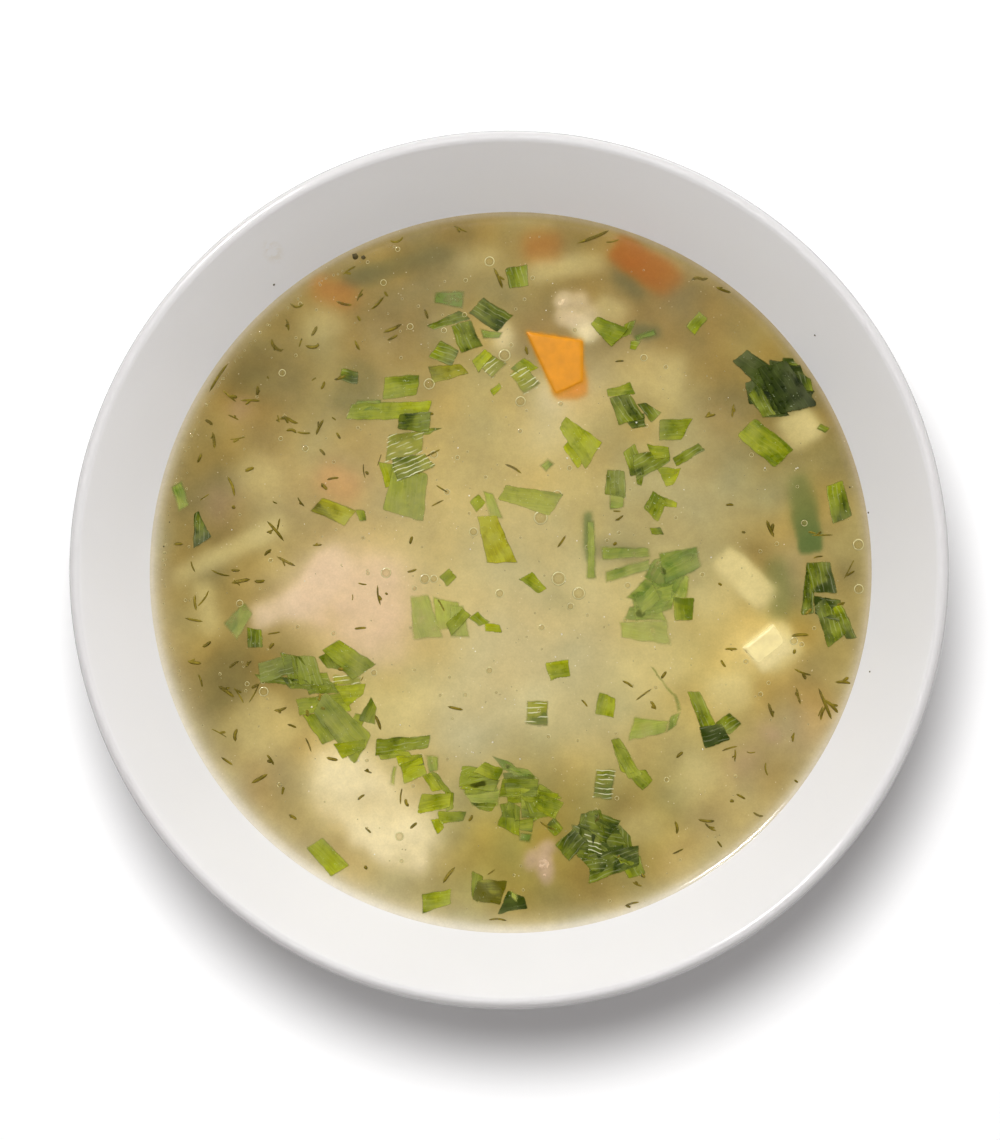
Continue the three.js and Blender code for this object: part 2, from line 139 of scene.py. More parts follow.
class Nodes:
    """The nodes of one tree, for a material or for a shape."""

    def __init__(self, tree):
        self.tree = tree

    def add(self, kind, settings=(), inputs=(), output=0):
        """A node of that type: its settings first, then the values or links of its sockets."""
        node = self.tree.nodes.new(kind)
        for name, value in dict(settings).items():
            setattr(node, name, value)
        for name, value in dict(inputs).items():
            if isinstance(value, Wire):
                self.tree.links.new(value.socket, node.inputs[name])
            else:
                node.inputs[name].default_value = value
        return Wire(self, node.outputs[output]) if node.outputs else None

    def place(self):
        """Where on the piece a point of its surface lies."""
        return self.add("ShaderNodeTexCoord", {}, {}, "Object")

    def split(self, vector):
        """The three parts of a place or of a direction."""
        x = self.add("ShaderNodeSeparateXYZ", {}, {0: vector})
        return x, x.other("Y"), x.other("Z")

    def mix(self, share, one, other, blend="MIX"):
        """Two colours mixed."""
        settings = {"data_type": "RGBA", "blend_type": blend}
        return self.add("ShaderNodeMix", settings, {0: share, 6: one, 7: other}, 2)

    def noise(self, place, size, detail=2.0):
        """Soft spots of about that size, in millimetres."""
        sockets = {"Vector": place, "Scale": 1 / (size * MM), "Detail": detail}
        return self.add("ShaderNodeTexNoise", {}, sockets)

    def bump(self, height, depth, strength=0.5):
        """A fine relief of that depth, in millimetres, for a shader's normal."""
        sockets = {"Height": height, "Distance": depth * MM, "Strength": strength}
        return self.add("ShaderNodeBump", {}, sockets)

    def coat(self, sockets):
        """The end of each finish: its one shader, with the values or links of its sockets."""
        shader = self.add("ShaderNodeBsdfPrincipled", {}, sockets)
        self.add("ShaderNodeOutputMaterial", {}, {0: shader})


def new_finish(name):
    """A material without nodes yet, and its tree."""
    material = bpy.data.materials.new(name)
    material.use_nodes = True
    material.node_tree.nodes.clear()
    return material, Nodes(material.node_tree)


def new_piece(name, places, faces, material, edges=()):
    """A piece made from places in millimetres and faces, smooth all over."""
    mesh = bpy.data.meshes.new(name)
    mesh.from_pydata((np.asarray(places) * MM).tolist(), [list(e) for e in edges], [list(f) for f in faces])
    mesh.materials.append(material)
    mesh.shade_smooth()
    piece = bpy.data.objects.new(name, mesh)
    bpy.context.scene.collection.objects.link(piece)
    return piece


def shape_tree(name, **sizes):
    """A tree of shape nodes whose named inputs are these sizes, and the wire of its first input."""
    tree = bpy.data.node_groups.new(name, "GeometryNodeTree")
    tree.interface.new_socket("Geometry", in_out="INPUT", socket_type="NodeSocketGeometry")
    for label, value in sizes.items():
        kind = "NodeSocketInt" if isinstance(value, int) else "NodeSocketFloat"
        tree.interface.new_socket(label, in_out="INPUT", socket_type=kind)
    tree.interface.new_socket("Geometry", in_out="OUTPUT", socket_type="NodeSocketGeometry")
    nodes = Nodes(tree)
    return nodes, nodes.add("NodeGroupInput")


def grow(piece, nodes, **sizes):
    """Runs a tree of shape nodes on a piece and keeps what comes out as its plain mesh."""
    modifier = piece.modifiers.new(nodes.tree.name, "NODES")
    modifier.node_group = nodes.tree
    for item in nodes.tree.interface.items_tree:
        if item.in_out == "INPUT" and item.name in sizes:
            modifier[item.identifier] = sizes[item.name]
    graph = bpy.context.evaluated_depsgraph_get()
    grown = bpy.data.meshes.new_from_object(piece.evaluated_get(graph))
    piece.modifiers.clear()
    piece.data = grown


def end_shape(nodes, shape, material):
    """The end of each tree: copies made real, smooth faces, and the material."""
    real = nodes.add("GeometryNodeRealizeInstances", {}, {"Geometry": shape})
    smooth = nodes.add("GeometryNodeSetShadeSmooth", {}, {"Geometry": real})
    coated = nodes.add("GeometryNodeSetMaterial", {}, {"Geometry": smooth, "Material": material})
    nodes.add("NodeGroupOutput", {}, {"Geometry": coated})


def glaze_finish():
    """White glaze, a little uneven, with bare clay on the foot ring and a dried splash on the wall.

    Painted shade: the rolled lip is greyer, and a dark line runs round the rim's outer edge.
    """
    material, nodes = new_finish("porcelain_glaze")
    place = nodes.place()
    x, y, z = nodes.split(place)
    radius = (x * x + y * y) ** 0.5
    bare = radius.step((FOOT_INNER + 0.2) * MM, (FOOT_INNER + 0.9) * MM)
    bare = (1 - z.step(0.1 * MM, 0.4 * MM)) * bare
    away = ((x - SPLASH_PLACE[0] * MM) ** 2.0 + (y - SPLASH_PLACE[1] * MM) ** 2.0) ** 0.5
    normal = nodes.add("ShaderNodeNewGeometry", {}, {}, "Normal")
    inside = nodes.split(normal)[2].step(0.0, 0.3)
    spots = nodes.noise(place, 1.6, 3.0).step(0.42, 0.6) * inside * SPLASH_STRENGTH
    splash = (1 - away.step(0.4 * MM, SPLASH_RADIUS * MM)) * spots
    uneven = nodes.noise(place, 60.0).step(0.3, 0.7)
    white = nodes.mix(uneven, srgb(*(c - 3 for c in GLAZE_WHITE)), srgb(*GLAZE_WHITE))
    colour = nodes.mix(bare, nodes.mix(splash, white, srgb(*SPLASH_CREAM)), srgb(*CLAY_CREAM))
    # Painted shade: the rolled lip is brought toward grey.
    roll = radius.step((WALL_TOP[0] + 0.15) * MM, (CREST_RADIUS - 0.6) * MM)
    roll = roll * z.step((BOWL_HEIGHT - 2) * MM, (BOWL_HEIGHT - 1) * MM)
    colour = nodes.mix(roll * 0.75, colour, srgb(*LIP_SHADE_GREY))
    # Painted shade: a dark line at the rim's outer edge, where the steep outer face falls into shadow.
    rim_outline_shade = radius.step((RIM_RADIUS - 0.7) * MM, (RIM_RADIUS - 0.1) * MM)
    rim_outline_shade = rim_outline_shade * z.step((BOWL_HEIGHT - 5) * MM, (BOWL_HEIGHT - 3) * MM)
    colour = nodes.mix(rim_outline_shade * 0.85, colour, srgb(*RIM_SHADE_GREY))
    grain = nodes.noise(place, 0.5, 4.0)
    waves = nodes.noise(place, 25.0, 1.0) * (1 - bare) * 0.6 + grain * bare
    gloss = 0.13 + nodes.noise(place, 18.0) * 0.06 + bare * 0.55
    relief = nodes.bump(waves, 0.06)
    nodes.coat({"Base Color": colour, "Roughness": gloss, "Normal": relief, "IOR": 1.5})
    return material


def turned(material, around):
    """A tree that turns a profile, a line of radius and height, round the upright axis."""
    nodes, given = shape_tree("turned_round", Around=around)
    rows = nodes.add("GeometryNodeAttributeDomainSize", {}, {"Geometry": given})
    sides = {"Size X": 1.0, "Size Y": 1.0, "Vertices X": given.other("Around") + 1, "Vertices Y": rows}
    sheet = nodes.add("GeometryNodeMeshGrid", {}, sides)
    here = nodes.add("GeometryNodeInputPosition")
    across, along, _ = nodes.split(here)
    angle = (across + 0.5) * math.tau
    row = (along + 0.5) * (rows - 1)
    row = row.math("ROUND", row)
    sampled = {"Geometry": given, "Value": here, "Index": row}
    point = nodes.add("GeometryNodeSampleIndex", {"data_type": "FLOAT_VECTOR"}, sampled)
    radius, _, height = nodes.split(point)
    round_x, round_y = radius * angle.math("COSINE", angle), radius * angle.math("SINE", angle)
    target = nodes.add("ShaderNodeCombineXYZ", {}, {0: round_x, 1: round_y, 2: height})
    bent = nodes.add("GeometryNodeSetPosition", {}, {"Geometry": sheet, "Position": target})
    closed = nodes.add("GeometryNodeMergeByDistance", {}, {"Geometry": bent, "Distance": 0.001 * MM})
    end_shape(nodes, closed, material)
    return nodes


wall = bezier([(FLOOR_RADIUS, FLOOR_HEIGHT), (FLOOR_RADIUS * 1.5, FLOOR_HEIGHT), WALL_BEND, WALL_TOP], 90)
slope = (wall[-1] - wall[-2]) / np.linalg.norm(wall[-1] - wall[-2])
crest = np.array([CREST_RADIUS, BOWL_HEIGHT])
lip_inner = bezier([wall[-1], wall[-1] + slope * 0.5, crest - [0.8, 0], crest], 12)
lip_outer = bezier([
    (RIM_RADIUS, LIP_FOOT),
    (RIM_RADIUS, LIP_FOOT + 1.45),
    (CREST_RADIUS + 1.0, BOWL_HEIGHT),
    crest,
], 16)
lip_under = bezier([
    OUTER_TOP,
    (OUTER_TOP[0] + 0.4, OUTER_TOP[1] + 0.55),
    (RIM_RADIUS, LIP_FOOT - 0.5),
    (RIM_RADIUS, LIP_FOOT),
], 7)
outside = bezier([FOOT_TOP, OUTSIDE_LOW, OUTSIDE_HIGH, OUTER_TOP], 60)
under = rounded([
    (0, RECESS_HEIGHT),
    (FOOT_INNER - 6, RECESS_HEIGHT),
    (FOOT_INNER - 1.2, RECESS_HEIGHT),
    (FOOT_INNER, 0.7),
    (FOOT_INNER + 0.8, 0),
    (FOOT_OUTER - 0.8, 0),
    (FOOT_OUTER, 0.8),
    (FOOT_OUTER + 0.2, 3.2),
    FOOT_TOP,
])
profile = np.vstack([under, outside[1:], lip_under[1:], lip_outer[1:], lip_inner[::-1][1:], wall[::-1][1:]])
profile = np.vstack([profile, [(FLOOR_RADIUS * 0.5, FLOOR_HEIGHT), (0, FLOOR_HEIGHT)]])
profile[:, 0] = np.minimum(profile[:, 0], RIM_RADIUS)
line = [(index, index + 1) for index in range(len(profile) - 1)]
upright = np.column_stack([profile[:, 0], np.zeros(len(profile)), profile[:, 1]])
glaze = glaze_finish()
bowl = new_piece("porcelain_bowl", upright, [], glaze, line)
grow(bowl, turned(glaze, BOWL_TURNS), Around=BOWL_TURNS)
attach(bowl, "root")
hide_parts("bowl")

# The boiled pieces that lie sunk in the murk: potato cut in dice and sticks, carrot, chunks of pork
# and of a paler meat, and limp strips of leek. They rest on each other and on the bowl's wall.
LEVEL = 39.3
LEAST_DEPTH = 0.15
OFF_WALL = 0.3
LUMPS_PER_MM = 0.22

# Place in plan, depth of the top, length, width, height, turn, and tilt that lifts the far end
SUNK_POTATO = [
    (-45.5, 61.0, 2.6, 11, 9, 8, 20, 0),
    (36.0, 48.0, 2.6, 15, 13, 9, -12, 3),
    (71.0, 34.4, 0.9, 10, 9.5, 8, 30, 4),
    (-68.3, 5.0, 1.5, 32, 5.2, 5, 27, 1),
    (-74.0, -9.0, 1.8, 14, 5, 5, -74, 0),
    (57.6, -2.4, 0.15, 17, 8, 9, -44, 3),
    (50.5, -8.0, 2.2, 12, 10, 9, 20, 0),
    (53.6, -30.3, 1.5, 12, 10, 9, 10, 3),
    (45.9, -49.9, 2.4, 12, 11, 9, 50, 0),
    (31.4, -62.7, 2.6, 12, 9, 8, 20, 0),
    (-60.0, -38.0, 2.2, 16, 15, 9, -55, 2),
    (14.3, 74.4, 1.9, 20, 5.8, 5, 7, 0),
    (65.2, -19.0, 0.4, 11, 10.5, 9, 38, 0),
    (25.0, 63.5, 1.8, 9, 7, 7, -20, 0),
    (33.8, -25.1, 2.4, 17, 14, 10, 40, 0),
    (-28.4, -35.3, 2.4, 18, 12, 9, -20, 0),
    (-8.0, 76.0, 3.0, 12, 7, 7, 10, 0),
    (-61.7, 22.7, 2.8, 10, 12, 8, 60, 0),
]
SUNK_CARROT = [
    (-43.0, 68.4, 1.9, 11.5, 6.5, 6, -20, 0),
]
LOW_CARROT = [
    (14.8, 46.4, 0.15, 8.6, 9.2, 4, 8, 0),
]
DEEP_CARROT = [
    (8.0, 79.3, 1.9, 10, 8.5, 6, 5, 0),
    (33.5, 74.6, 0.8, 19, 8.6, 6, -34, -3),
]
SOFT_CARROT = [
    (-42.1, 21.8, 1.9, 11.5, 9.0, 6, -30, 0),
]
PORK_CHUNK = [
    (-40.5, -7.0, 0.8, 31, 29, 14, 138, 3),
    (-32.0, -5.0, 1.4, 20, 19, 12, 10, 0),
    (-32.5, -15.0, 1.2, 21, 17, 12, -30, 0),
]
PORK_RIDGE = [
    (-46.6, -3.6, 0.3, 21, 10, 12, 50, 0),
    (-56.0, -9.4, 0.9, 15, 7, 9, 22, 0),
]
PORK_SHREDS = [
    (-66.0, 39.8, 1.8, 7, 5, 5, 15, 0),
    (63.0, -39.7, 1.2, 6.5, 4, 5, -40, 0),
    (-71.0, 16.0, 2.6, 12, 8, 6, 80, 0),
    (57.0, -47.0, 2.6, 13, 8, 6, 30, 0),
]
PALE_CHUNK = [
    (-33.0, -58.0, 0.15, 39, 21, 13, -44, 0),
    (-41.0, -50.0, 0.2, 18, 16, 11, 10, 0),
    (-24.5, -66.0, 0.3, 18, 16, 11, -20, 0),
    (18.2, 59.8, 0.25, 8.5, 6.5, 5, -35, 0),
    (-1.5, 57.5, 0.9, 5, 9, 5, 10, 0),
    (10.0, 42.5, 2.0, 9, 11, 6, 0, 0),
]
SUNK_LEEK = [
    (-28.0, 74.8, 1.5, 26, 4.4, 1.0, 15, -2),
    (-64.3, 45.8, 3.0, 11, 8, 1.0, 10, 0),
    (-37.5, 44.5, 2.6, 13, 11, 1.0, 70, 0),
    (33.6, 58.2, 0.8, 6.5, 3.4, 1.0, 0, 0),
    (29.0, 70.5, 1.3, 9, 3.4, 1.0, -36, 0),
    (-69.0, -26.5, 3.4, 14, 12, 1.0, 30, 0),
    (12.2, -7.0, 3.6, 8, 5.5, 1.0, -40, 0),
    (27.0, 4.5, 2.2, 13, 5, 1.0, -10, 0),
]
GREEN_LEEK = [
    (72.0, 13.8, 0.9, 19, 6.4, 1.2, -80, 7),
    (19.4, 8.6, 0.5, 12, 2.2, 1.0, -88, 0),
    (65.4, -4.8, 2.3, 15, 5.5, 1.0, -84, 0),
]

POTATO_YELLOW = (240, 222, 152)
CARROT_ORANGE = (206, 124, 46)
CARROT_LOW = (232, 152, 54)
# Painted shade: the carrot under the shaded top wall is a darker brown.
SHADED_CARROT_BROWN = (176, 97, 26)
CARROT_PEACH = (226, 166, 104)
PORK_BEIGE = (243, 211, 169)
# Painted highlight: the pork's ridge is a paler beige than the rest, where it faces the light.
RIDGE_HIGHLIGHT_BEIGE = (252, 226, 190)
SHRED_PINK = (190, 156, 126)
PALE_CREAM = (255, 238, 184)
LEEK_GREEN = (106, 104, 64)
LEEK_BRIGHT = (98, 116, 58)


def wall_height(radius):
    """How high the inner wall, or the floor, stands at a distance from the middle."""
    return np.interp(radius, wall[:, 0], wall[:, 1])


def ball(detail):
    """The places and faces of a ball of radius one."""
    made = bmesh.new()
    bmesh.ops.create_icosphere(made, subdivisions=detail, radius=1.0)
    places = np.array([vertex.co[:] for vertex in made.verts])
    faces = np.array([[vertex.index for vertex in face.verts] for face in made.faces])
    made.free()
    return places, faces


def chunk(row, square, rough, detail=4):
    """A sunk lump or block: a ball squared off, roughened, turned, and kept off the wall."""
    x, y, depth, long, wide, tall, turn, tilt = row
    places, faces = ball(detail)
    places = places / (np.abs(places) ** square).sum(1, keepdims=True) ** (1 / square)
    places = places * [long / 2, wide / 2, tall / 2]
    shift = Vector((x, y, depth)) * 1.7
    spots = [Vector(place) * LUMPS_PER_MM + shift for place in places]
    swell = np.array([noise.fractal(spot, 0.9, 2.1, 4) for spot in spots])
    places = places * (1 + rough * swell[:, None])
    matrix = Matrix.Rotation(math.radians(turn), 3, "Z") @ Matrix.Rotation(math.radians(-tilt), 3, "Y")
    places = places @ np.array(matrix).T
    places[:, 2] += LEVEL - depth - tall / 2 * (1 + rough * 0.2)
    places[:, :2] += [x, y]
    rest = wall_height(np.hypot(places[:, 0], places[:, 1])) + OFF_WALL
    places[:, 2] = np.clip(places[:, 2], rest, LEVEL - LEAST_DEPTH)
    return places, faces


def joined(parts):
    """Many shapes as one list of places and one of faces."""
    places, faces, count = [], [], 0
    for some_places, some_faces in parts:
        places.append(some_places)
        faces.append(np.asarray(some_faces) + count)
        count += len(some_places)
    return np.vstack(places), np.vstack(faces)


def boiled_finish(name, colour, grain_size, gloss):
    """Boiled flesh: a soft colour with paler and darker grains, wet all over."""
    material, nodes = new_finish(name)
    grain = nodes.noise(nodes.place(), grain_size, 4.0)
    dark, light = (srgb(*(min(255, c * share) for c in colour)) for share in (0.95, 1.03))
    shade = nodes.mix(grain.step(0.2, 0.8), dark, light)
    relief = nodes.bump(grain, 0.05)
    nodes.coat({"Base Color": shade, "Roughness": gloss + grain * 0.2, "Normal": relief, "IOR": 1.4})
    return material


# Name, rows, squareness, roughness, colour, size of the grain, and the record's slot
SUNK_KINDS = [
    ("potato_sunk", SUNK_POTATO, 5.0, 0.14, POTATO_YELLOW, 0.9, "potato"),
    ("carrot_sunk", SUNK_CARROT, 5.0, 0.12, CARROT_ORANGE, 0.8, "carrot"),
    ("carrot_low", LOW_CARROT, 5.0, 0.1, CARROT_LOW, 0.8, "carrot"),
    ("carrot_deep", DEEP_CARROT, 5.0, 0.12, SHADED_CARROT_BROWN, 0.8, "carrot"),
    ("carrot_soft", SOFT_CARROT, 3.5, 0.2, CARROT_PEACH, 0.8, "carrot"),
    ("pork_sunk", PORK_CHUNK, 2.8, 0.22, PORK_BEIGE, 1.2, "pork"),
    ("pork_ridge", PORK_RIDGE, 4.5, 0.16, RIDGE_HIGHLIGHT_BEIGE, 1.2, "pork"),
    ("pork_shreds", PORK_SHREDS, 2.2, 0.5, SHRED_PINK, 1.2, "pork"),
    ("pale_meat_sunk", PALE_CHUNK, 2.6, 0.28, PALE_CREAM, 1.4, "floret"),
    ("leek_sunk", SUNK_LEEK, 4.0, 0.3, LEEK_GREEN, 0.7, "onion_dark"),
    ("leek_green", GREEN_LEEK, 5.0, 0.15, LEEK_BRIGHT, 0.7, "onion_dark"),
]
sunk = []
for name, rows, square, rough, colour, grain_size, slot in SUNK_KINDS:
    shapes = [chunk(row, square, rough) for row in rows]
    sunk += [(shape, colour) for shape in shapes]
    piece = new_piece(name, *joined(shapes), boiled_finish(name, colour, grain_size, 0.4))
    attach(piece, "root")

# The pieces that stand through the surface: a carrot slice, a potato cube, a bit of pork and a pale
# floret. Each is cut or torn, then boiled soft, so its edges are rounded and its faces wet.
CARROT_BRIGHT = (220, 145, 27)
POTATO_PALE = (250, 232, 166)
PORK_PINK = (208, 178, 142)
FLORET_CREAM = (223, 200, 154)

# Node, its new name, how far it is let down, its tilt, which way that falls, size of the mesh,
# smoothing, roughness of the surface, size of the bumps, colour, size of its grain, gloss and slot
STANDING = [
    ("carrot", "carrot_slice", 0.05, 0.0, 0, 0.28, 10, 0.03, 2.4, CARROT_BRIGHT, 2.6, 0.3, "carrot"),
    ("potato", "potato_cube", 0.2, 6.0, -50, 0.25, 12, 0.02, 2.0, POTATO_PALE, 3.0, 0.14, "potato"),
    ("pork", "pork_bit", 0.25, 0.0, 0, 0.25, 6, 0.3, 1.1, PORK_PINK, 0.8, 0.3, "pork"),
    ("pale_floret", "floret", 0.62, 2.0, -20, 0.25, 14, 0.4, 1.3, FLORET_CREAM, 1.0, 0.4, "floret"),
]


def heading(turn):
    """A step of length one that way, seen from above."""
    return np.array([math.cos(turn), math.sin(turn)])


def softened(node, down, lean, falls, cell, rounds, rough, bump):
    """A fine, soft-edged copy of a CAD solid, let down a little so that the broth laps over it."""
    shape = bmesh.new()
    shape.from_mesh(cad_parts[node].data)
    bmesh.ops.remove_doubles(shape, verts=shape.verts, dist=0.001 * MM)
    mesh = bpy.data.meshes.new(node + "_fine")
    shape.to_mesh(mesh)
    shape.free()
    draft = bpy.data.objects.new(node + "_fine", mesh)
    bpy.context.scene.collection.objects.link(draft)
    fine = draft.modifiers.new("fine", "REMESH")
    fine.mode = "VOXEL"
    fine.voxel_size = cell * MM
    soft = draft.modifiers.new("soft", "SMOOTH")
    soft.iterations = rounds
    finished = draft.evaluated_get(bpy.context.evaluated_depsgraph_get()).to_mesh()
    places = np.array([vertex.co[:] for vertex in finished.vertices]) / MM
    normals = np.array([vertex.normal[:] for vertex in finished.vertices])
    finished.calc_loop_triangles()
    faces = np.array([triangle.vertices[:] for triangle in finished.loop_triangles])
    bpy.data.objects.remove(draft)
    rise = np.array([noise.fractal(Vector(place) / bump, 0.8, 2.0, 3) for place in places])
    places = places + normals * (rise * rough)[:, None]
    middle = (places.max(0) + places.min(0))[:2] / 2
    along = (places[:, :2] - middle) @ heading(math.radians(falls))
    places[:, 2] -= down + math.radians(lean) * along
    return places, faces


standing = []
for node, name, down, lean, falls, cell, rounds, rough, bump, colour, grain_size, gloss, slot in STANDING:
    shape = softened(node, down, lean, falls, cell, rounds, rough, bump)
    standing.append((shape, colour))
    piece = new_piece(name, *shape, boiled_finish(name, colour, grain_size, gloss))
    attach(piece, "root")
    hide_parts(node)

# The broth: a murky straw-coloured liquid that fills the bowl, with a wet, level surface that climbs
# the wall at its edge. It takes its colours from what lies under it, softer the deeper that is, with
# painted light and shade in them: the sunk pieces' shading, darker broth by the shaded wall, and the
# wall, lit on one side and shaded on the other, seen through the thin edge.
EDGE_RISE = 0.85
EDGE_WIDTH = 2.6
EDGE_SHARES = (0.2, 0.4, 0.58, 0.74, 0.87, 1.0)
WALL_OVERLAP = 0.12
WALL_RINGS = (34.0, 26.0, 18.0, 11.0)
RING_STEP = 0.6
RASTER_STEP = 0.5
RASTER_HALF = 90.0
BROTH_SHARE = 0.93

CLEARNESS = 3.0
MURK_SPREADS = (0.3, 1.0, 2.0, 3.2)
DEPTH_SPREAD = 1.5
SOFT_LIGHT = (-0.25, 0.9, 0.35)
SHADE_TURN, SHADE_FROM, SHADE_WIDTH = 125, 48, 34
EDGE_TURN = 60

STRAW = (180, 162, 97)
SAND = (190, 168, 102)
BARK = (140, 119, 62)
OLIVE = (147, 136, 62)
HAZE = (208, 194, 143)
GREY_GREEN = (172, 162, 114)
HONEY = (212, 188, 106)
ROSE = (196, 163, 108)
MAUVE = (142, 121, 80)
CREAM = (226, 203, 142)
SHADOW_BROWN = (110, 96, 50)
BROWN_GREEN = (120, 113, 62)
PALE_ROSE = (202, 177, 126)
GLOW_ORANGE = (228, 172, 90)
GLOW_YELLOW = (238, 208, 126)
EDGE_SHADED = (184, 168, 132)
EDGE_LIT = (238, 232, 216)
FLECK_CREAM = (236, 224, 184)

# Seed, size and strength of the patches that are lighter or darker, and of those that are warmer
PATCHES = [(3, 1.6, 0.026), (4, 4.0, 0.05)]
WARM_SEED, WARM_SIZE, WARMTH = 8, 3.2, (3.5, 0.0, -4.0)

# Broad clouds in the broth: place, half width, colour and strength. The darker brown and mauve clouds
# by the upper wall and round the black leaves are partly painted shade, and the pale haze clouds in
# the middle partly a painted broad highlight.
CLOUDS = [
    (-10, 28, 30, SAND, 0.7),
    (0, -22, 20, HAZE, 0.9),
    (20, -40, 14, HAZE, 0.5),
    (46, 18, 20, GREY_GREEN, 0.8),
    (34, -22, 16, HONEY, 0.6),
    (-62, 2, 22, BARK, 0.3),
    (-60, -40, 14, HONEY, 0.35),
    (-38, 20, 16, ROSE, 0.4),
    (-70, 16, 10, MAUVE, 0.6),
    (-64, 46, 12, MAUVE, 0.3),
    (-33, 60, 11, MAUVE, 0.7),
    (-20, 68, 12, MAUVE, 0.5),
    (20, 61, 12, MAUVE, 0.8),
    (37, 62, 11, MAUVE, 0.8),
    (72, 45, 16, OLIVE, 0.9),
    (54, 40, 9, MAUVE, 0.6),
    (-38, 55, 24, BARK, 0.3),
    (10, 66, 22, BARK, 0.3),
    (5, -70, 20, OLIVE, 0.9),
    (30, -68, 16, OLIVE, 0.7),
    (62, -52, 14, MAUVE, 0.15),
    (70, -34, 12, MAUVE, 0.2),
    (-30, -30, 14, HONEY, 0.35),
    (-66, -26, 10, BARK, 0.6),
    (72, 6, 12, SAND, 0.3),
    (29, 69, 9, MAUVE, 0.8),
    (46, 64, 9, MAUVE, 0.7),
    (60, 43, 9, BARK, 0.8),
    (80, -4, 11, BARK, 0.3),
    (-73, 4, 11, BARK, 0.4),
    (20, -72, 14, BARK, 0.5),
    (-30, -6, 20, CREAM, 0.5),
    (-14, 54, 9, BARK, 0.35),
    (34, 33, 9, BARK, 0.25),
    (12, -12, 26, HAZE, 0.55),
    (-2, 8, 14, HAZE, 0.15),
    (-33, -60, 15, CREAM, 0.7),
    (-40, -2, 14, CREAM, 0.55),
    (15, 44, 7, GLOW_ORANGE, 0.4),
    (60, -20, 8, GLOW_YELLOW, 0.8),
    (6, 58, 7, MAUVE, 0.7),
    (31, 69, 8, BARK, 0.6),
    (46, 66, 9, MAUVE, 0.5),
    (79, 38, 8, SHADOW_BROWN, 0.8),
    (85, 28, 8, BARK, 0.6),
    (74, 54, 8, SHADOW_BROWN, 0.7),
    (54, 46, 6, SHADOW_BROWN, 0.4),
    (-64, 38, 9, MAUVE, 0.5),
    (-60, 29, 7, MAUVE, 0.3),
    (-58, -27, 9, BARK, 0.5),
    (20, 69, 8, BARK, 0.6),
    (0, 61, 7, BARK, 0.4),
    (20, 58, 6, BARK, 0.3),
    (53, 59, 8, BARK, 0.5),
    (44, 50, 7, BARK, 0.35),
    (78, 44, 7, SHADOW_BROWN, 0.6),
    (-70, 30, 7, BARK, 0.4),
    (62, -30, 6, BARK, 0.4),
    (-47, -45, 8, CREAM, 0.35),
    (-46, -58, 8, CREAM, 0.3),
    (-64, 1, 8, HONEY, 0.3),
    (-78, 3, 8, BARK, 0.5),
    (-20, -19, 7, SAND, 0.4),
    (24, -76, 9, BARK, 0.4),
    (12, 69, 6, BARK, 0.65),
    (40, 55, 9, BARK, 0.5),
    (-22, 42, 7, BARK, 0.3),
    (10, 35, 9, HAZE, 0.6),
    (20, 46, 7, HAZE, 0.5),
    (-46, 10, 9, BARK, 0.45),
    (-48, -1, 6, BARK, 0.25),
    (-57, -9, 6, BARK, 0.6),
    (2, 6, 9, GREY_GREEN, 0.35),
    (61, 1, 8, BARK, 0.6),
    (71, -12, 6, BROWN_GREEN, 0.5),
    (70, 2, 6, PALE_ROSE, 0.4),
    (-71, -10, 6, BARK, 0.4),
    (-60, -4, 8, PALE_ROSE, 0.25),
    (-60, -33, 8, BARK, 0.6),
    (-52, -19, 6, BARK, 0.35),
    (21, -20, 8, HAZE, 0.35),
    (-11, -39, 13, HAZE, 0.8),
    (72, -39, 9, PALE_ROSE, 0.9),
    (58, -52, 8, PALE_ROSE, 0.3),
    (48, -62, 8, PALE_ROSE, 0.4),
    (-60, -50, 8, PALE_ROSE, 0.7),
    (29, -58, 7, BARK, 0.7),
    (61, -30, 6, BARK, 0.4),
    (67, 29, 6, BARK, 0.4),
    (40, -71, 7, PALE_ROSE, 0.4),
    (-20, 80, 7, PALE_ROSE, 0.4),
    (-70, 40, 8, PALE_ROSE, 0.25),
    (-54, 18, 12, PALE_ROSE, 0.3),
    (36, 73, 8, PALE_ROSE, 0.2),
]

axis = np.arange(-RASTER_HALF, RASTER_HALF + RASTER_STEP, RASTER_STEP)
raster_x, raster_y = np.meshgrid(axis, axis)
wave_x, wave_y = np.meshgrid(np.fft.fftfreq(len(axis), RASTER_STEP), np.fft.fftfreq(len(axis), RASTER_STEP))


def blurred(picture, spread):
    """A picture on the raster, blurred by a spread in millimetres."""
    fade = np.exp(-2 * (math.pi * spread) ** 2 * (wave_x**2 + wave_y**2))
    return np.fft.ifft2(np.fft.fft2(picture) * fade).real


def seen_from_above(shape):
    """The heights of a shape on the raster, and the way that its faces look, from above."""
    places, faces = shape
    tree = BVHTree.FromPolygons(places.tolist(), faces.tolist())
    heights = np.full(raster_x.shape, np.nan)
    slopes = np.zeros(raster_x.shape + (3,))
    low, high = places.min(0), places.max(0)
    near = (raster_x > low[0]) & (raster_x < high[0]) & (raster_y > low[1]) & (raster_y < high[1])
    for i, j in zip(*np.nonzero(near)):
        spot = Vector((raster_x[i, j], raster_y[i, j], BOWL_HEIGHT))
        hit, normal, _, _ = tree.ray_cast(spot, Vector((0, 0, -1)))
        if hit is not None:
            heights[i, j] = hit.z
            slopes[i, j] = normal
    return heights, slopes


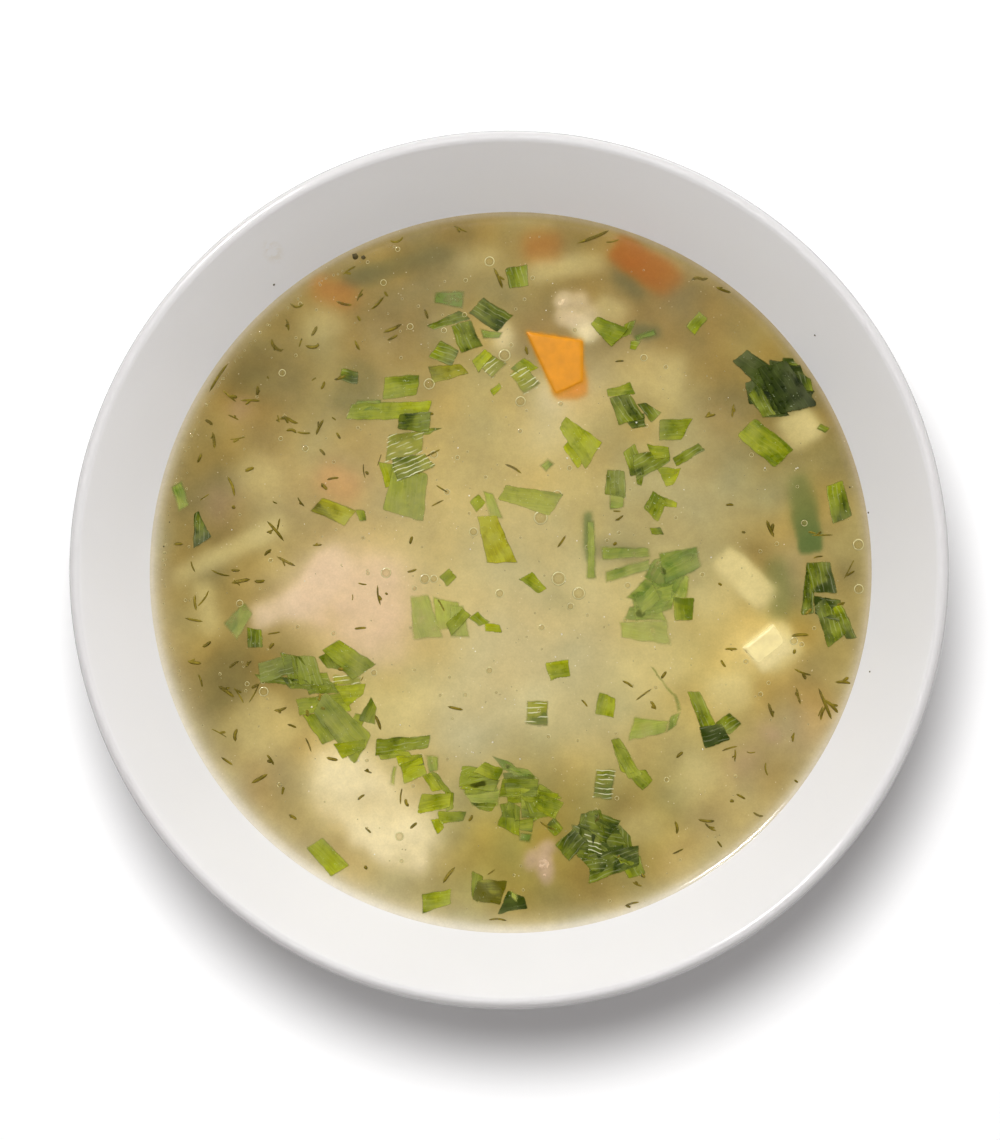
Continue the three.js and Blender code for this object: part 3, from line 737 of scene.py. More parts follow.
def murk(picture, shape, colour):
    """The picture with what shows of a shape under the surface, softer and fainter with its depth."""
    heights, slopes = seen_from_above(shape)
    there = ~np.isnan(heights)
    depth = np.where(there, np.maximum(LEVEL - heights, 0), 0)
    share = np.where(there, np.exp(-depth / CLEARNESS), 0)
    # Painted light and shade: each face is shaded in the colour as if by a fixed soft light.
    light = 0.9 + 0.12 * (slopes @ np.array(SOFT_LIGHT))
    weight = blurred(share, DEPTH_SPREAD) + 1e-6
    how_deep = np.clip(blurred(share * depth, DEPTH_SPREAD) / weight, 0, 6)
    wanted = 0.3 + 0.5 * how_deep
    softer = [(spread, blurred(share, spread), blurred(share * light, spread)) for spread in MURK_SPREADS]
    low, out_share, out_light = softer[0]
    for high, share_high, light_high in softer[1:]:
        part = np.clip((wanted - low) / (high - low), 0, 1)
        out_share = out_share * (1 - part) + share_high * part
        out_light = out_light * (1 - part) + light_high * part
        low = high
    out_share = np.clip(out_share, 0, 1)[..., None]
    lit = (out_light / (out_share[..., 0] + 1e-6))[..., None]
    return picture * (1 - out_share) + np.array(colour, float) * lit * out_share


def drift(seed, spread):
    """A field of soft patches on the raster, mostly between -1 and 1."""
    field = blurred(np.random.default_rng(seed).normal(size=raster_x.shape), spread)
    return (field / field.std() / 1.6)[..., None]


def toward(picture, colour, share):
    """The picture brought nearer to a colour, by a share that differs from place to place."""
    return picture + (np.array(colour, float) - picture) * share[..., None]


def wall_radius_at(height):
    """How far out the inner wall stands at a height."""
    return float(np.interp(height, wall[:, 1], wall[:, 0]))


def broth_colours():
    """The colour of the broth's surface over the raster, as it looks on a screen."""
    radius = np.hypot(raster_x, raster_y)
    turn = np.arctan2(raster_y, raster_x)
    picture = np.zeros(raster_x.shape + (3,)) + STRAW
    for x, y, half, colour, strength in CLOUDS:
        share = strength * np.exp(-((raster_x - x) ** 2 + (raster_y - y) ** 2) / (half * half))
        picture = toward(picture, colour, share)
    # Painted shade: near the wall, most on the side away from the light, the broth turns darker brown.
    shaded = 0.5 + 0.5 * np.cos(turn - math.radians(SHADE_TURN))
    broth_rim_shade = np.clip((radius - SHADE_FROM) / SHADE_WIDTH, 0, 1) ** 1.5 * (0.15 + 0.75 * shaded)
    picture = toward(picture, BARK, broth_rim_shade)
    uneven = (0.6 + 0.6 * np.clip((radius - 25) / 45, 0, 1))[..., None]
    picture *= 1 + sum(drift(seed, size) * strength for seed, size, strength in PATCHES) * uneven
    picture += drift(WARM_SEED, WARM_SIZE) * uneven * np.array(WARMTH)
    for shape, colour in sorted(sunk, key=lambda item: item[0][0][:, 2].max()):
        picture = murk(picture, shape, colour)
    for shape, colour in standing:
        picture = murk(picture, shape, colour)
    # Painted light and shade: at the thin edge the wall shows through, lit where it faces the light and
    # shaded where it faces away.
    edge = wall_radius_at(LEVEL)
    lit = 0.5 - 0.5 * np.cos(turn - math.radians(EDGE_TURN))
    thin = np.exp(-np.maximum(edge - radius, 0) / (0.9 + 2.2 * lit**2))
    painted_wall_light = np.array(EDGE_LIT) * lit[..., None] + np.array(EDGE_SHADED) * (1 - lit)[..., None]
    return toward(picture, painted_wall_light, thin * 0.9)


def disc(rings, step):
    """A level disc of even triangles: ring k has 6k places."""
    places, faces = [(0.0, 0.0)], []
    starts = [0]
    for k in range(1, rings + 1):
        starts.append(len(places))
        angles = np.arange(6 * k) * math.tau / (6 * k)
        places += list(zip(k * step * np.cos(angles), k * step * np.sin(angles)))
    for k in range(rings):
        inner, outer = 6 * k, 6 * (k + 1)
        for sector in range(6):
            for i in range(k + 1):
                a = starts[k + 1] + (sector * (k + 1) + i) % outer
                b = starts[k + 1] + (sector * (k + 1) + i + 1) % outer
                c = starts[k] + ((sector * k + i) % inner if k else 0)
                faces.append((a, b, c))
                if i < k:
                    d = starts[k] + (sector * k + i + 1) % inner
                    faces.append((c, b, d))
    return np.array(places), faces, starts[rings]


def on_raster(picture, x, y):
    """The picture's values at places in millimetres, between the raster's points."""
    u = np.clip((x + RASTER_HALF) / RASTER_STEP, 0, len(axis) - 1.001)
    v = np.clip((y + RASTER_HALF) / RASTER_STEP, 0, len(axis) - 1.001)
    i, j = v.astype(int), u.astype(int)
    down, across = v - i, u - j
    if picture.ndim == 3:
        down, across = down[:, None], across[:, None]
    top = picture[i, j] * (1 - across) + picture[i, j + 1] * across
    low = picture[i + 1, j] * (1 - across) + picture[i + 1, j + 1] * across
    return top * (1 - down) + low * down


def stored(nodes, name, output):
    """What a mesh holds under that name at each of its places."""
    return nodes.add("ShaderNodeAttribute", {"attribute_name": name}, {}, output)


def grey(nodes, shade):
    """A grey of that shade."""
    return nodes.add("ShaderNodeCombineColor", {}, {0: shade, 1: shade, 2: shade})


def broth_finish():
    """Murky broth: the colours of what lies under it, with painted light and shade in them, fine mottling,
    tiny specks of fat, and a wet gloss.
    """
    material, nodes = new_finish("murky_broth")
    place = nodes.place()
    mottled = nodes.noise(place, 2.2, 5.0).step(0.25, 0.75)
    grainy = nodes.noise(place, 0.45, 2.0).step(0.2, 0.8)
    shade = 0.915 + mottled * 0.08 + grainy * 0.09
    colour = nodes.mix(1.0, stored(nodes, "murk", "Color"), grey(nodes, shade), "MULTIPLY")
    fat = nodes.add("ShaderNodeTexVoronoi", {}, {"Vector": place, "Scale": 1 / (1.5 * MM)})
    fleck = (1 - fat.step(0.05, 0.13)) * nodes.noise(place, 4.0).step(0.5, 0.62)
    colour = nodes.mix(fleck * 0.45, colour, srgb(*FLECK_CREAM))
    nodes.coat({"Base Color": colour, "Roughness": 0.09 + mottled * 0.05, "IOR": 1.34})
    return material


contact_height = LEVEL + EDGE_RISE
contact = wall_radius_at(contact_height) + WALL_OVERLAP
rings = int((contact - EDGE_WIDTH) / RING_STEP)
flat, faces, last_ring = disc(rings, RING_STEP)
around = 6 * rings
surface = np.column_stack([flat, np.full(len(flat), LEVEL)])
flat_edge = rings * RING_STEP
angles = np.arange(around) * math.tau / around
rows_out = []
for share in EDGE_SHARES:
    radius = flat_edge + (contact - flat_edge) * share
    rows_out.append((radius, LEVEL + EDGE_RISE * share**2.6))
for height in (contact_height - 1.5, *WALL_RINGS):
    rows_out.append((wall_radius_at(height) + WALL_OVERLAP, height))
rows_out.append((FLOOR_RADIUS * 0.9, FLOOR_HEIGHT - 0.05))
ring_before = last_ring
for radius, height in rows_out:
    start = len(surface)
    ring = np.column_stack([radius * np.cos(angles), radius * np.sin(angles), np.full(around, height)])
    surface = np.vstack([surface, ring])
    for i in range(around):
        j = (i + 1) % around
        faces.append((ring_before + i, start + i, start + j))
        faces.append((ring_before + i, start + j, ring_before + j))
    ring_before = start
surface = np.vstack([surface, [(0, 0, FLOOR_HEIGHT - 0.05)]])
for i in range(around):
    faces.append((ring_before + i, len(surface) - 1, ring_before + (i + 1) % around))
broth = new_piece("broth", surface, faces, broth_finish())
shades = linear(on_raster(broth_colours(), surface[:, 0], surface[:, 1]) / 255) * BROTH_SHARE
tint = broth.data.color_attributes.new("murk", "FLOAT_COLOR", "POINT")
tint.data.foreach_set("color", np.column_stack([shades, np.ones(len(shades))]).ravel())
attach(broth, "root")
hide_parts("soup")

# The cut leaves of spring onion: limp flat tubes, cut across and opened out, that float in the
# surface. Those that lie high show crisp, and those that dip under it show pale through the broth.
LEAF_THICK = 0.32
LEAF_CELL = 0.42
LEAF_PROUD = 0.15
STACK_SHARE = 0.45
EDGE_WANDER = 0.3
EDGE_SEED = 7
RIB_GAP = 1.1
SCRAP_GROWTH = 1.12
SCRAP_LIFT = 0.5
LEAF_MIST = (160, 165, 114)
SCRAP_PROUD = 0.05
SCRAP_STEP = 0.015
CAD_LEAF_TOP = 39.9
CAD_LEAF_THICK = 0.6
SAME_HEIGHT = 0.006
BEND_SIZE, CRINKLE_SIZE = 2.6, 0.7
WAVE_SIZE, PATCH_SIZE = 4.5, 3.2
LEAF_SEED, SCRAP_SEED = 100, 900
RIB_GLINT_WHITE = (228, 228, 188)
GLINT_WHITE = (222, 230, 190)

# Tone: the dark and the light colour of its face, how solid it looks, how far it is sunk and clouded,
# how strongly the painted white glints on its ribs show
TONES = {
    "pale": ((88, 118, 0), (182, 189, 62), 0.97, 0.5, 0.05),
    "mid": ((88, 101, 0), (164, 170, 20), 1.0, 0.2, 0.04),
    "bright": ((94, 108, 0), (172, 175, 4), 1.0, 0.1, 0.04),
    "olive": ((90, 86, 0), (178, 173, 26), 1.0, 0.2, 0.0),
    "ribbed": ((80, 95, 0), (166, 164, 40), 0.96, 0.35, 1.0),
    "dark": ((46, 60, 0), (138, 148, 4), 1.0, 0.14, 0.15),
    "black": ((15, 27, 0), (64, 78, 4), 1.0, 0.05, 0.03),
}

# How light a leaf is, from 0 to 1, where it isn't middling
SHADES = {
    "onion_bright_01": 0.3, "onion_bright_02": 0.75, "onion_bright_03": 0.3, "onion_bright_04": 0.85,
    "onion_bright_05": 0.62, "onion_bright_06": 0.2, "onion_dark_01": 0.2, "onion_dark_04": 0.1,
    "onion_dark_05": 0.5, "onion_dark_06": 0.85, "onion_dark_07": 0.6, "onion_dark_08": 0.6,
    "onion_dark_09": 0.6, "onion_dark_10": 0.3, "onion_dark_11": 0.4, "onion_dark_12": 0.8,
    "onion_dark_13": 1.7, "onion_dark_14": 0.25, "onion_dark_15": 0.3, "onion_dark_16": 0.25,
    "onion_mid_03": 0.6, "onion_mid_04": 0.6, "onion_mid_05": 0.65, "onion_mid_06": 1.0,
    "onion_mid_07": 0.3, "onion_mid_08": 0.35, "onion_mid_09": 0.55, "onion_mid_10": 0.8,
    "onion_mid_11": 0.85, "onion_olive_01": 0.7, "onion_olive_02": 0.8, "onion_olive_03": 0.0,
    "onion_pale_01": -0.2, "onion_pale_02": 0.55, "onion_pale_03": 1.0, "onion_pale_04": 0.85,
    "onion_pale_05": 0.55, "onion_pale_06": 0.3, "onion_pale_07": 0.25, "onion_pale_08": 0.5,
    "onion_pale_09": 1.0, "onion_pale_10": 0.8, "onion_ribbed_02": 0.75, "onion_ribbed_03": 0.7,
    "onion_black_02": 0.25,
}

# How much more a leaf is clouded than others of its tone, from 0 to 1
HAZES = {
    "onion_mid_03": 0.45, "onion_mid_05": 0.35, "onion_mid_06": -0.1, "onion_dark_05": 0.4,
    "onion_dark_06": 0.3, "onion_dark_07": 0.3, "onion_dark_13": 0.3, "onion_bright_04": 0.55,
    "onion_pale_01": 0.2, "onion_pale_02": 0.3, "onion_pale_03": 0.35, "onion_pale_04": 0.2,
    "onion_pale_09": 0.35, "onion_bright_02": 0.2, "onion_mid_09": 0.15,
}

# Which way the ribs run on the leaves whose ribs don't run along them, in degrees
RIB_TURNS = {"onion_ribbed_01": 38, "onion_ribbed_02": 30, "onion_ribbed_03": 22, "onion_mid_10": 4}

# The small leaves and torn scraps, traced one by one: tone, how light it is, whether it lies on top of
# the leaves round it, its four corners, and which way its ribs run
SCRAPS = [
    ("dark", 0.35, 0, (-19.8, 60.2, -12.5, 63.8, -9.8, 61.6, -18.2, 59.3)),
    ("dark", 0.45, 0, (-16.6, 56.4, -12.4, 54.0, -14.0, 50.2, -19.6, 52.4)),
    ("olive", 0.4, 0, (-19.5, 50.2, -12.5, 50.6, -10.0, 48.2, -18.6, 45.9)),
    ("pale", 0.3, 0, (-7.2, 59.5, -1.6, 58.6, -2.4, 56.8, -6.4, 56.6)),
    ("bright", 0.4, 0, (-31.9, 26.6, -27.9, 25.6, -27.6, 21.6, -30.2, 20.4)),
    ("dark", 0.5, 1, (-26.5, 38.2, -19.4, 38.9, -20.0, 33.9, -27.0, 34.8)),
    ("dark", 0.6, 0, (-20.2, 34.6, -16.4, 35.1, -19.4, 33.4, -21.5, 33.3)),
    ("pale", 0.1, 0, (-37.0, 42.2, -31.5, 41.8, -31.5, 39.5, -38.8, 38.8)),
    ("ribbed", 0.4, 1, (-28.5, 27.5, -21.0, 28.4, -18.2, 25.6, -27.0, 21.8), 24),
    ("bright", 0.6, 1, (-8.8, 51.4, -6.0, 54.2, -4.2, 52.4, -7.4, 48.6)),
    ("bright", 0.6, 0, (-4.8, 44.2, -2.4, 46.0, -1.7, 44.8, -3.8, 42.8)),
    ("bright", 0.45, 0, (0.6, 49.4, 3.7, 52.2, 7.0, 49.6, 3.4, 47.8)),
    ("mid", 0.7, 0, (-9.8, 16.4, -7.4, 18.7, -5.7, 16.4, -7.9, 14.0)),
    ("pale", 0.7, 0, (-6.4, 19.4, -3.6, 18.6, -1.4, 12.6, -5.0, 13.0)),
    ("mid", 0.5, 0, (-37.8, 15.0, -35.4, 14.6, -34.8, 12.2, -36.8, 12.0)),
    ("bright", 0.3, 0, (24.2, 44.2, 29.5, 45.8, 30.8, 43.0, 24.4, 42.4)),
    ("dark", 0.5, 0, (31.6, 40.4, 33.4, 40.8, 37.3, 38.6, 34.6, 36.2)),
    ("dark", 0.35, 0, (28.0, 37.2, 33.0, 38.4, 33.4, 35.0, 30.0, 34.6)),
    ("mid", 0.4, 0, (37.0, 36.6, 44.8, 36.8, 42.0, 31.8, 36.8, 31.8)),
    ("dark", 0.6, 0, (28.0, 28.6, 31.0, 30.8, 33.0, 23.5, 29.6, 23.2)),
    ("bright", 0.35, 1, (33.8, 30.6, 38.8, 29.8, 39.0, 27.6, 35.6, 27.0)),
    ("dark", 0.55, 0, (40.2, 27.6, 46.0, 30.8, 47.7, 29.2, 41.2, 25.2)),
    ("bright", 0.5, 0, (36.2, 25.0, 42.0, 24.6, 40.0, 20.8, 38.4, 20.4)),
    ("dark", 0.7, 0, (30.8, 23.4, 33.0, 22.8, 32.4, 20.4, 31.2, 20.8)),
    ("bright", 0.35, 0, (33.0, 15.2, 35.2, 18.9, 38.2, 16.6, 36.4, 11.6)),
    ("bright", 0.3, 0, (36.5, 18.4, 40.8, 16.4, 40.6, 15.2, 37.6, 15.6)),
    ("dark", 0.8, 0, (34.2, 10.2, 36.8, 10.6, 37.9, 8.4, 34.8, 8.8)),
    ("pale", 0.6, 0, (24.4, 18.6, 28.6, 18.2, 27.8, 15.2, 24.6, 14.6)),
    ("bright", 0.85, 0, (13.2, 30.0, 16.0, 32.6, 18.6, 27.8, 16.8, 24.9)),
    ("pale", 0.2, 0, (33.0, -1.5, 35.5, 2.5, 45.0, 3.4, 40.0, -6.8)),
    ("pale", 0.3, 0, (28.8, -6.8, 33.5, -2.0, 40.4, -5.4, 37.5, -9.8)),
    ("pale", 0.35, 0, (30.0, -6.0, 41.0, -3.0, 39.5, -9.5, 31.0, -12.4)),
    ("pale", 0.45, 0, (22.6, 5.8, 33.8, 5.4, 34.2, 3.0, 23.0, 2.2)),
    ("dark", 0.45, 1, (58.8, 42.4, 61.0, 45.2, 65.0, 38.0, 62.0, 37.4)),
    ("dark", 0.3, 1, (70.2, 48.4, 73.6, 46.6, 74.2, 43.4, 71.4, 44.0)),
    ("pale", 0.8, 0, (40.0, -1.0, 44.0, -1.5, 43.4, -7.0, 39.5, -7.4)),
    ("bright", 0.1, 1, (40.2, -6.9, 45.0, -7.1, 44.6, -12.0, 40.4, -12.2)),
    ("pale", 0.4, 0, (29.5, -8.8, 36.5, -8.8, 38.5, -12.6, 28.0, -12.4)),
    ("dark", 0.45, 0, (-64.2, -14.0, -60.6, -14.6, -60.4, -18.9, -64.0, -18.6)),
    ("dark", 0.4, 0, (-55.5, -26.0, -49.5, -26.8, -48.0, -29.4, -53.5, -28.8)),
    ("dark", 0.35, 0, (-62.0, -25.2, -53.0, -26.4, -52.8, -28.2, -60.0, -27.4)),
    ("dark", 0.5, 0, (-55.8, -20.2, -51.0, -21.5, -47.8, -27.6, -53.5, -27.5)),
    ("dark", 0.6, 0, (-50.5, -26.0, -44.5, -25.0, -43.2, -29.2, -48.5, -30.3)),
    ("mid", 0.25, 0, (-47.6, -26.2, -42.2, -27.6, -41.6, -29.8, -46.2, -30.4)),
    ("mid", 0.3, 0, (-46.6, -21.4, -42.6, -19.0, -39.8, -24.6, -44.4, -23.8)),
    ("bright", 0.6, 0, (-42.4, -28.2, -35.0, -27.8, -36.0, -30.6, -39.4, -33.0)),
    ("ribbed", 0.8, 0, (-43.0, -25.4, -36.4, -25.8, -36.2, -27.8, -42.6, -28.2), 10),
    ("mid", 0.3, 0, (-33.8, -31.0, -32.4, -33.6, -32.8, -37.6, -36.8, -36.4)),
    ("mid", 0.5, 0, (-37.4, -34.8, -34.6, -35.6, -36.0, -38.6, -39.0, -37.4)),
    ("mid", 0.45, 0, (-48.8, -31.2, -40.6, -29.8, -38.8, -34.4, -46.4, -35.8)),
    ("mid", 0.45, 0, (-52.0, -31.4, -45.4, -30.8, -46.4, -34.6, -50.8, -35.6)),
    ("mid", 0.55, 0, (-50.4, -35.6, -46.6, -34.8, -42.6, -41.0, -45.6, -42.4)),
    ("bright", 0.3, 1, (-42.6, -42.4, -35.2, -41.4, -35.8, -43.8, -40.4, -45.8)),
    ("mid", 0.6, 0, (-32.6, -43.6, -24.6, -44.2, -24.0, -45.4, -31.0, -46.2)),
    ("bright", 0.5, 0, (-27.6, -45.4, -21.6, -44.9, -20.8, -47.6, -26.6, -47.8)),
    ("pale", 0.5, 0, (-20.6, -45.0, -17.0, -45.4, -17.4, -48.8, -19.6, -49.6)),
    ("pale", 0.8, 0, (-28.4, -47.6, -27.0, -47.8, -27.8, -52.6, -29.4, -52.2)),
    ("bright", 0.75, 0, (-21.0, -50.2, -19.0, -49.2, -15.8, -53.0, -18.8, -54.0)),
    ("mid", 0.4, 0, (-19.2, -48.8, -17.4, -49.6, -13.6, -54.4, -16.2, -54.0)),
    ("mid", 0.45, 0, (-15.8, -53.6, -13.4, -54.4, -13.6, -58.2, -15.4, -58.8)),
    ("mid", 0.45, 0, (-17.2, -58.6, -10.6, -58.8, -11.2, -61.0, -16.6, -62.0)),
    ("bright", 0.8, 0, (-19.0, -60.8, -16.4, -60.2, -15.8, -62.6, -17.4, -64.2)),
    ("bright", 0.45, 1, (-8.8, -49.2, -5.8, -46.8, -1.6, -48.4, -2.8, -51.2)),
    ("mid", 0.2, 0, (-9.6, -50.2, -2.4, -51.0, -3.8, -53.8, -11.6, -53.4)),
    ("pale", 0.7, 0, (-11.4, -53.4, -2.2, -53.2, -3.0, -57.6, -8.6, -57.6)),
    ("dark", 0.6, 0, (-9.4, -56.4, -3.0, -56.8, -4.2, -58.8, -7.4, -58.2)),
    ("pale", 0.1, 0, (-4.2, -45.2, -0.6, -46.2, 3.6, -49.6, -1.4, -48.8)),
    ("pale", 0.3, 0, (-0.8, -47.2, 4.2, -48.6, 7.2, -50.6, 0.0, -50.4)),
    ("mid", 0.35, 0, (7.2, -51.8, 12.9, -55.4, 9.8, -56.2, 6.6, -54.6)),
    ("dark", 0.75, 0, (3.4, -55.4, 7.6, -54.6, 8.4, -59.6, 5.8, -61.2)),
    ("mid", 0.3, 0, (-1.5, -49.4, 6.0, -50.2, 8.0, -56.0, 0.0, -56.6)),
    ("mid", 0.45, 0, (3.0, -53.0, 11.6, -54.6, 10.4, -59.8, 3.2, -60.2)),
    ("mid", 0.6, 0, (-11.6, -49.2, -4.2, -47.6, -2.8, -53.8, -10.4, -54.6)),
    ("mid", 0.2, 0, (-2.4, -57.2, 0.6, -56.2, 1.6, -60.6, -1.6, -60.2)),
    ("mid", 0.4, 0, (1.2, -61.0, 6.0, -60.2, 5.6, -63.8, 3.0, -63.4)),
    ("pale", 0.2, 0, (2.2, -63.6, 5.8, -64.0, 5.2, -66.4, 2.4, -66.0)),
    ("dark", 0.75, 0, (9.0, -62.4, 11.0, -60.0, 13.2, -62.8, 11.2, -64.8)),
    ("ribbed", 0.25, 0, (21.2, -48.9, 25.8, -48.6, 24.8, -55.8, 20.3, -55.4), -3),
    ("mid", 0.5, 0, (25.2, -42.8, 28.8, -44.0, 31.4, -50.4, 27.0, -48.8)),
    ("mid", 0.4, 0, (28.6, -49.6, 33.2, -48.6, 34.8, -51.0, 32.4, -53.6)),
    ("dark", 0.25, 0, (15.2, -64.0, 20.5, -59.4, 27.2, -64.6, 29.6, -71.6)),
    ("dark", 0.15, 0, (15.4, -65.0, 26.6, -64.2, 30.4, -72.2, 17.0, -69.8)),
    ("dark", 0.2, 0, (17.6, -59.4, 22.2, -58.2, 23.4, -66.0, 17.0, -64.6)),
    ("black", 0.8, 0, (20.0, -64.4, 26.4, -62.6, 27.8, -67.8, 21.6, -69.8)),
    ("dark", 0.35, 0, (25.2, -60.6, 29.4, -64.8, 30.0, -69.6, 25.8, -69.2)),
    ("dark", 0.1, 0, (17.0, -69.6, 24.8, -69.0, 25.6, -73.4, 20.4, -73.0)),
    ("dark", 0.6, 0, (26.0, -69.4, 31.6, -69.6, 32.8, -73.6, 29.0, -74.8)),
    ("ribbed", 0.0, 0, (15.2, -62.0, 21.6, -63.4, 22.4, -68.8, 16.0, -68.4), -16),
    ("black", 0.9, 0, (0.0, -78.0, 3.6, -79.6, 4.2, -82.0, -2.6, -83.4)),
    ("pale", 1.0, 1, (0.2, -77.8, 2.2, -78.6, 2.0, -80.8, 0.4, -79.4)),
    ("mid", 0.2, 0, (-9.0, -73.2, -6.2, -74.6, -7.6, -80.6, -9.2, -79.0)),
    ("dark", 0.4, 0, (72.2, 0.6, 74.4, 1.2, 74.0, -10.4, 71.0, -10.6)),
    ("dark", 0.1, 0, (74.2, -6.6, 80.4, -7.6, 80.2, -12.8, 74.6, -10.8)),
    ("dark", 0.45, 0, (78.6, -9.8, 80.8, -8.6, 84.4, -16.4, 81.6, -16.8)),
    ("mid", 0.8, 0, (22.0, -30.0, 25.8, -31.4, 25.4, -36.0, 20.8, -35.0)),
    ("pale", 0.4, 0, (34.2, -23.6, 35.4, -24.0, 40.2, -30.2, 39.4, -30.6)),
    ("pale", 0.3, 0, (39.6, -30.0, 41.0, -30.4, 42.2, -34.2, 40.8, -34.6)),
    ("pale", 0.4, 0, (39.0, -35.4, 42.0, -34.4, 40.8, -37.8, 38.2, -39.6)),
    ("dark", 0.7, 0, (43.4, -30.1, 46.4, -29.8, 50.2, -37.6, 46.8, -39.2)),
    ("dark", 0.6, 0, (50.0, -37.2, 53.6, -34.9, 56.4, -37.6, 53.2, -40.0)),
    ("dark", 0.0, 1, (46.2, -38.4, 51.4, -37.6, 53.4, -41.4, 47.8, -43.2)),
    ("dark", 0.3, 0, (-41.2, 49.6, -37.1, 49.0, -37.4, 45.8, -41.4, 46.8)),
    ("black", 0.35, 0, (60.0, 47.5, 72.4, 50.0, 73.4, 43.5, 59.6, 41.5)),
    ("black", 0.5, 0, (59.6, 43.0, 72.8, 44.5, 68.4, 38.6, 62.0, 38.5)),
    ("black", 0.55, 0, (57.8, 45.6, 63.0, 47.0, 64.6, 40.0, 58.8, 40.8)),
    ("black", 0.9, 0, (59.0, 41.6, 66.0, 40.4, 68.4, 37.6, 62.6, 37.4)),
    ("black", 0.5, 0, (64.0, 51.2, 71.6, 50.4, 72.6, 46.8, 64.6, 46.6)),
    ("dark", 0.1, 0, (66.8, 51.8, 71.8, 51.4, 71.2, 49.6, 67.2, 50.2)),
    ("black", 0.4, 0, (70.0, 48.0, 74.9, 44.2, 72.0, 40.0, 68.4, 41.0)),
    ("dark", 0.75, 0, (43.4, 59.6, 46.4, 63.4, 48.6, 61.6, 45.4, 57.8)),
    ("dark", 0.7, 0, (28.2, 60.2, 31.0, 61.4, 30.0, 57.8, 27.4, 57.0)),
    ("dark", 0.9, 0, (29.8, 56.4, 32.4, 56.0, 31.0, 53.8, 29.6, 54.2)),
    ("pale", 0.15, 0, (30.4, 57.6, 35.6, 59.4, 36.2, 57.4, 31.2, 55.6)),
    ("dark", 0.6, 0, (75.0, 34.4, 76.0, 35.8, 78.2, 34.6, 77.0, 33.2)),
    ("dark", 0.75, 0, (-0.8, 74.2, 4.2, 75.0, 4.6, 70.0, 0.4, 69.2)),
    ("pale", 0.6, 0, (7.4, 25.6, 9.2, 27.6, 11.4, 26.2, 9.0, 23.6)),
    ("bright", 0.45, 0, (2.4, -2.4, 5.8, -0.6, 8.8, -4.4, 7.2, -5.6)),
    ("mid", 0.5, 0, (-17.2, -1.6, -14.8, 0.6, -12.6, -1.8, -15.2, -4.0)),
    ("pale", 0.9, 0, (-18.6, -6.4, -12.2, -8.2, -12.4, -14.0, -17.6, -14.6)),
    ("mid", 0.5, 1, (-15.4, -13.0, -11.4, -9.4, -9.4, -11.0, -13.8, -16.0)),
    ("dark", 0.9, 0, (-9.6, -11.6, -7.6, -10.2, -4.8, -12.6, -7.4, -13.8)),
    ("bright", 0.7, 0, (-5.8, -13.0, -2.6, -13.4, -1.6, -15.2, -5.6, -15.0)),
    ("bright", 0.45, 0, (9.0, -22.8, 14.2, -22.0, 14.8, -25.8, 10.2, -26.8)),
    ("ribbed", 0.7, 0, (4.4, -31.9, 9.6, -31.9, 9.4, -37.9, 4.1, -37.6), 0),
    ("pale", 0.3, 0, (-83.0, 20.6, -80.2, 22.2, -78.4, 16.2, -81.4, 14.4)),
]


def leaf_corners(flat):
    """The four corners of a leaf seen from above, with its longest side first."""
    ring = [Vector(flat[i]) for i in geometry.convex_hull_2d([Vector(place) for place in flat])]
    while len(ring) > 4:
        sides = [(ring[i] - ring[i - 1], ring[(i + 1) % len(ring)] - ring[i]) for i in range(len(ring))]
        bites = [abs(one.cross(other)) for one, other in sides]
        ring.pop(bites.index(min(bites)))
    if sum(ring[i - 1].cross(ring[i]) for i in range(4)) < 0:
        ring.reverse()
    longest = max(range(4), key=lambda i: (ring[(i + 1) % 4] - ring[i]).length)
    return [np.array(ring[(longest + k) % 4]) for k in range(4)]


def ripples(flat, size, seed):
    """A share from -1 to 1 for each place, alike within soft patches of about that size."""
    return np.array([noise.noise(Vector((x / size, y / size, seed))) for x, y in flat])


def bends(flat, size, seed):
    """A step sideways for each place, alike within soft patches of about that size."""
    return np.array([noise.noise_vector(Vector((x / size, y / size, seed)))[:2] for x, y in flat])


